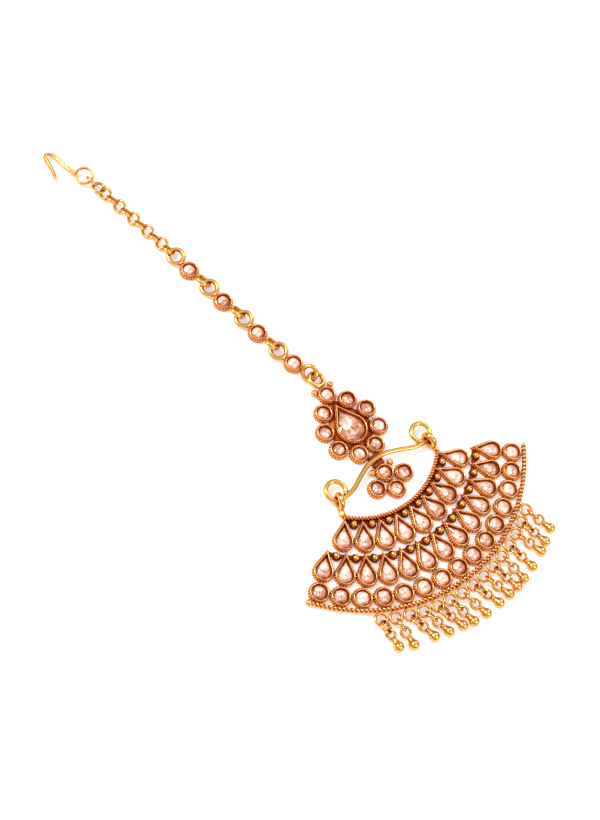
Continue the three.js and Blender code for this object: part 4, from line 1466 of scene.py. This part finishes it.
class TIKKA_OT_stage(bpy.types.Operator):
    """Lays the pale table, lights it softly and sets the camera."""

    bl_idname = "tikka.stage"
    bl_label = "Stage"
    bl_options = {"REGISTER", "UNDO"}

    def table(self):
        stage = sizes("stage")
        half, z = stage.floor_size / 2, -stage.floor_gap
        corners = [(-half, -half, z), (half, -half, z), (half, half, z), (-half, half, z)]
        mesh = bpy.data.meshes.new("table")
        mesh.from_pydata(corners, [], [(0, 1, 2, 3)])
        material, nodes, shader = new_material("matt table")
        where = nodes.add("ShaderNodeTexCoord").outputs["Object"]
        mottle = nodes.add("ShaderNodeTexNoise", {"Vector": where, "Scale": 3.0})
        darker = tuple(FLOOR_MOTTLE * part for part in stage.floor)
        paint = ramp(nodes, mottle.outputs["Fac"], [(0, darker), (1, stage.floor)])
        nodes.give(shader.inputs["Base Color"], paint)
        shader.inputs["Roughness"].default_value = 0.85
        shader.inputs["Specular IOR Level"].default_value = 0.2
        shader.inputs["Emission Color"].default_value = (*stage.sky, 1.0)
        shader.inputs["Emission Strength"].default_value = stage.floor_glow
        mesh.materials.append(material)
        new_object("table", mesh)

    def light(self, name, spot, size, power):
        """A square soft light that faces the jewel."""
        lamp = bpy.data.lights.new(name, "AREA")
        lamp.shape = "SQUARE"
        lamp.size = size
        lamp.energy = power
        holder = new_object(name, lamp)
        holder.location = spot
        holder.rotation_euler = Vector(spot).to_track_quat("Z", "Y").to_euler()

    def room(self):
        stage = sizes("stage")
        world = bpy.data.worlds.new("room")
        world.use_nodes = True
        back = world.node_tree.nodes["Background"]
        nodes = Nodes(world.node_tree)
        where = nodes.add("ShaderNodeTexCoord").outputs["Object"]
        height = nodes.add("ShaderNodeSeparateXYZ", {0: where}).outputs["Z"]
        stops = [(level, tuple(light * part for part in stage.sky)) for level, light in ROOM_LIGHT]
        seen = nodes.add("ShaderNodeLightPath").outputs["Is Camera Ray"]
        paint = nodes.add("ShaderNodeMixRGB", {
            "Fac": seen, "Color1": ramp(nodes, height, stops), "Color2": (*stage.sky, 1.0),
        })
        nodes.give(back.inputs["Color"], paint.outputs["Color"])
        back.inputs["Strength"].default_value = stage.sky_strength
        bpy.context.scene.world = world

    def camera(self):
        stage = sizes("stage")
        data = bpy.data.cameras.new("camera")
        data.sensor_fit = "AUTO"
        data.sensor_width = stage.sensor
        data.lens = stage.camera_lens
        data.clip_start = 0.01
        holder = new_object("camera", data)
        holder.location = fan_centre() + Vector(stage.camera_place)
        holder.rotation_euler = stage.camera_turn
        bpy.context.scene.camera = holder

    def execute(self, context):
        self.table()
        self.room()
        for lamp in LIGHTS:
            self.light(*lamp)
        self.camera()
        bpy.context.scene.view_settings.view_transform = "Standard"
        return {"FINISHED"}


PIECES = (
    TIKKA_OT_fan_settings,
    TIKKA_OT_fan_stones,
    TIKKA_OT_fan_wires,
    TIKKA_OT_grains,
    TIKKA_OT_bails,
    TIKKA_OT_fringe,
    TIKKA_OT_pendant,
    TIKKA_OT_pendant_stones,
    TIKKA_OT_bow,
    TIKKA_OT_stone_links,
    TIKKA_OT_cable_chain,
    TIKKA_OT_hair_hook,
    TIKKA_OT_stage,
)


class TIKKA_PT_panel(bpy.types.Panel):
    """Lists the pieces and their sizes."""

    bl_idname = "TIKKA_PT_panel"
    bl_label = "Maang tikka"
    bl_space_type = "VIEW_3D"
    bl_region_type = "UI"
    bl_category = "Tikka"

    def draw(self, context):
        for piece in PIECES:
            self.layout.operator(piece.bl_idname)
        for name, group in GROUPS.items():
            box = self.layout.box()
            box.label(text=name.removeprefix("tikka_").capitalize())
            for key in group.__annotations__:
                box.prop(getattr(context.scene, name), key)


CLASSES = (*GROUPS.values(), *PIECES, TIKKA_PT_panel)


def register():
    for item in CLASSES:
        bpy.utils.register_class(item)
    for name, group in GROUPS.items():
        setattr(bpy.types.Scene, name, PointerProperty(type=group))


def unregister():
    for name in GROUPS:
        delattr(bpy.types.Scene, name)
    for item in reversed(CLASSES):
        bpy.utils.unregister_class(item)


def main():
    register()
    for piece in PIECES:
        group, name = piece.bl_idname.split(".")
        getattr(getattr(bpy.ops, group), name)()


if __name__ == "__main__":
    main()
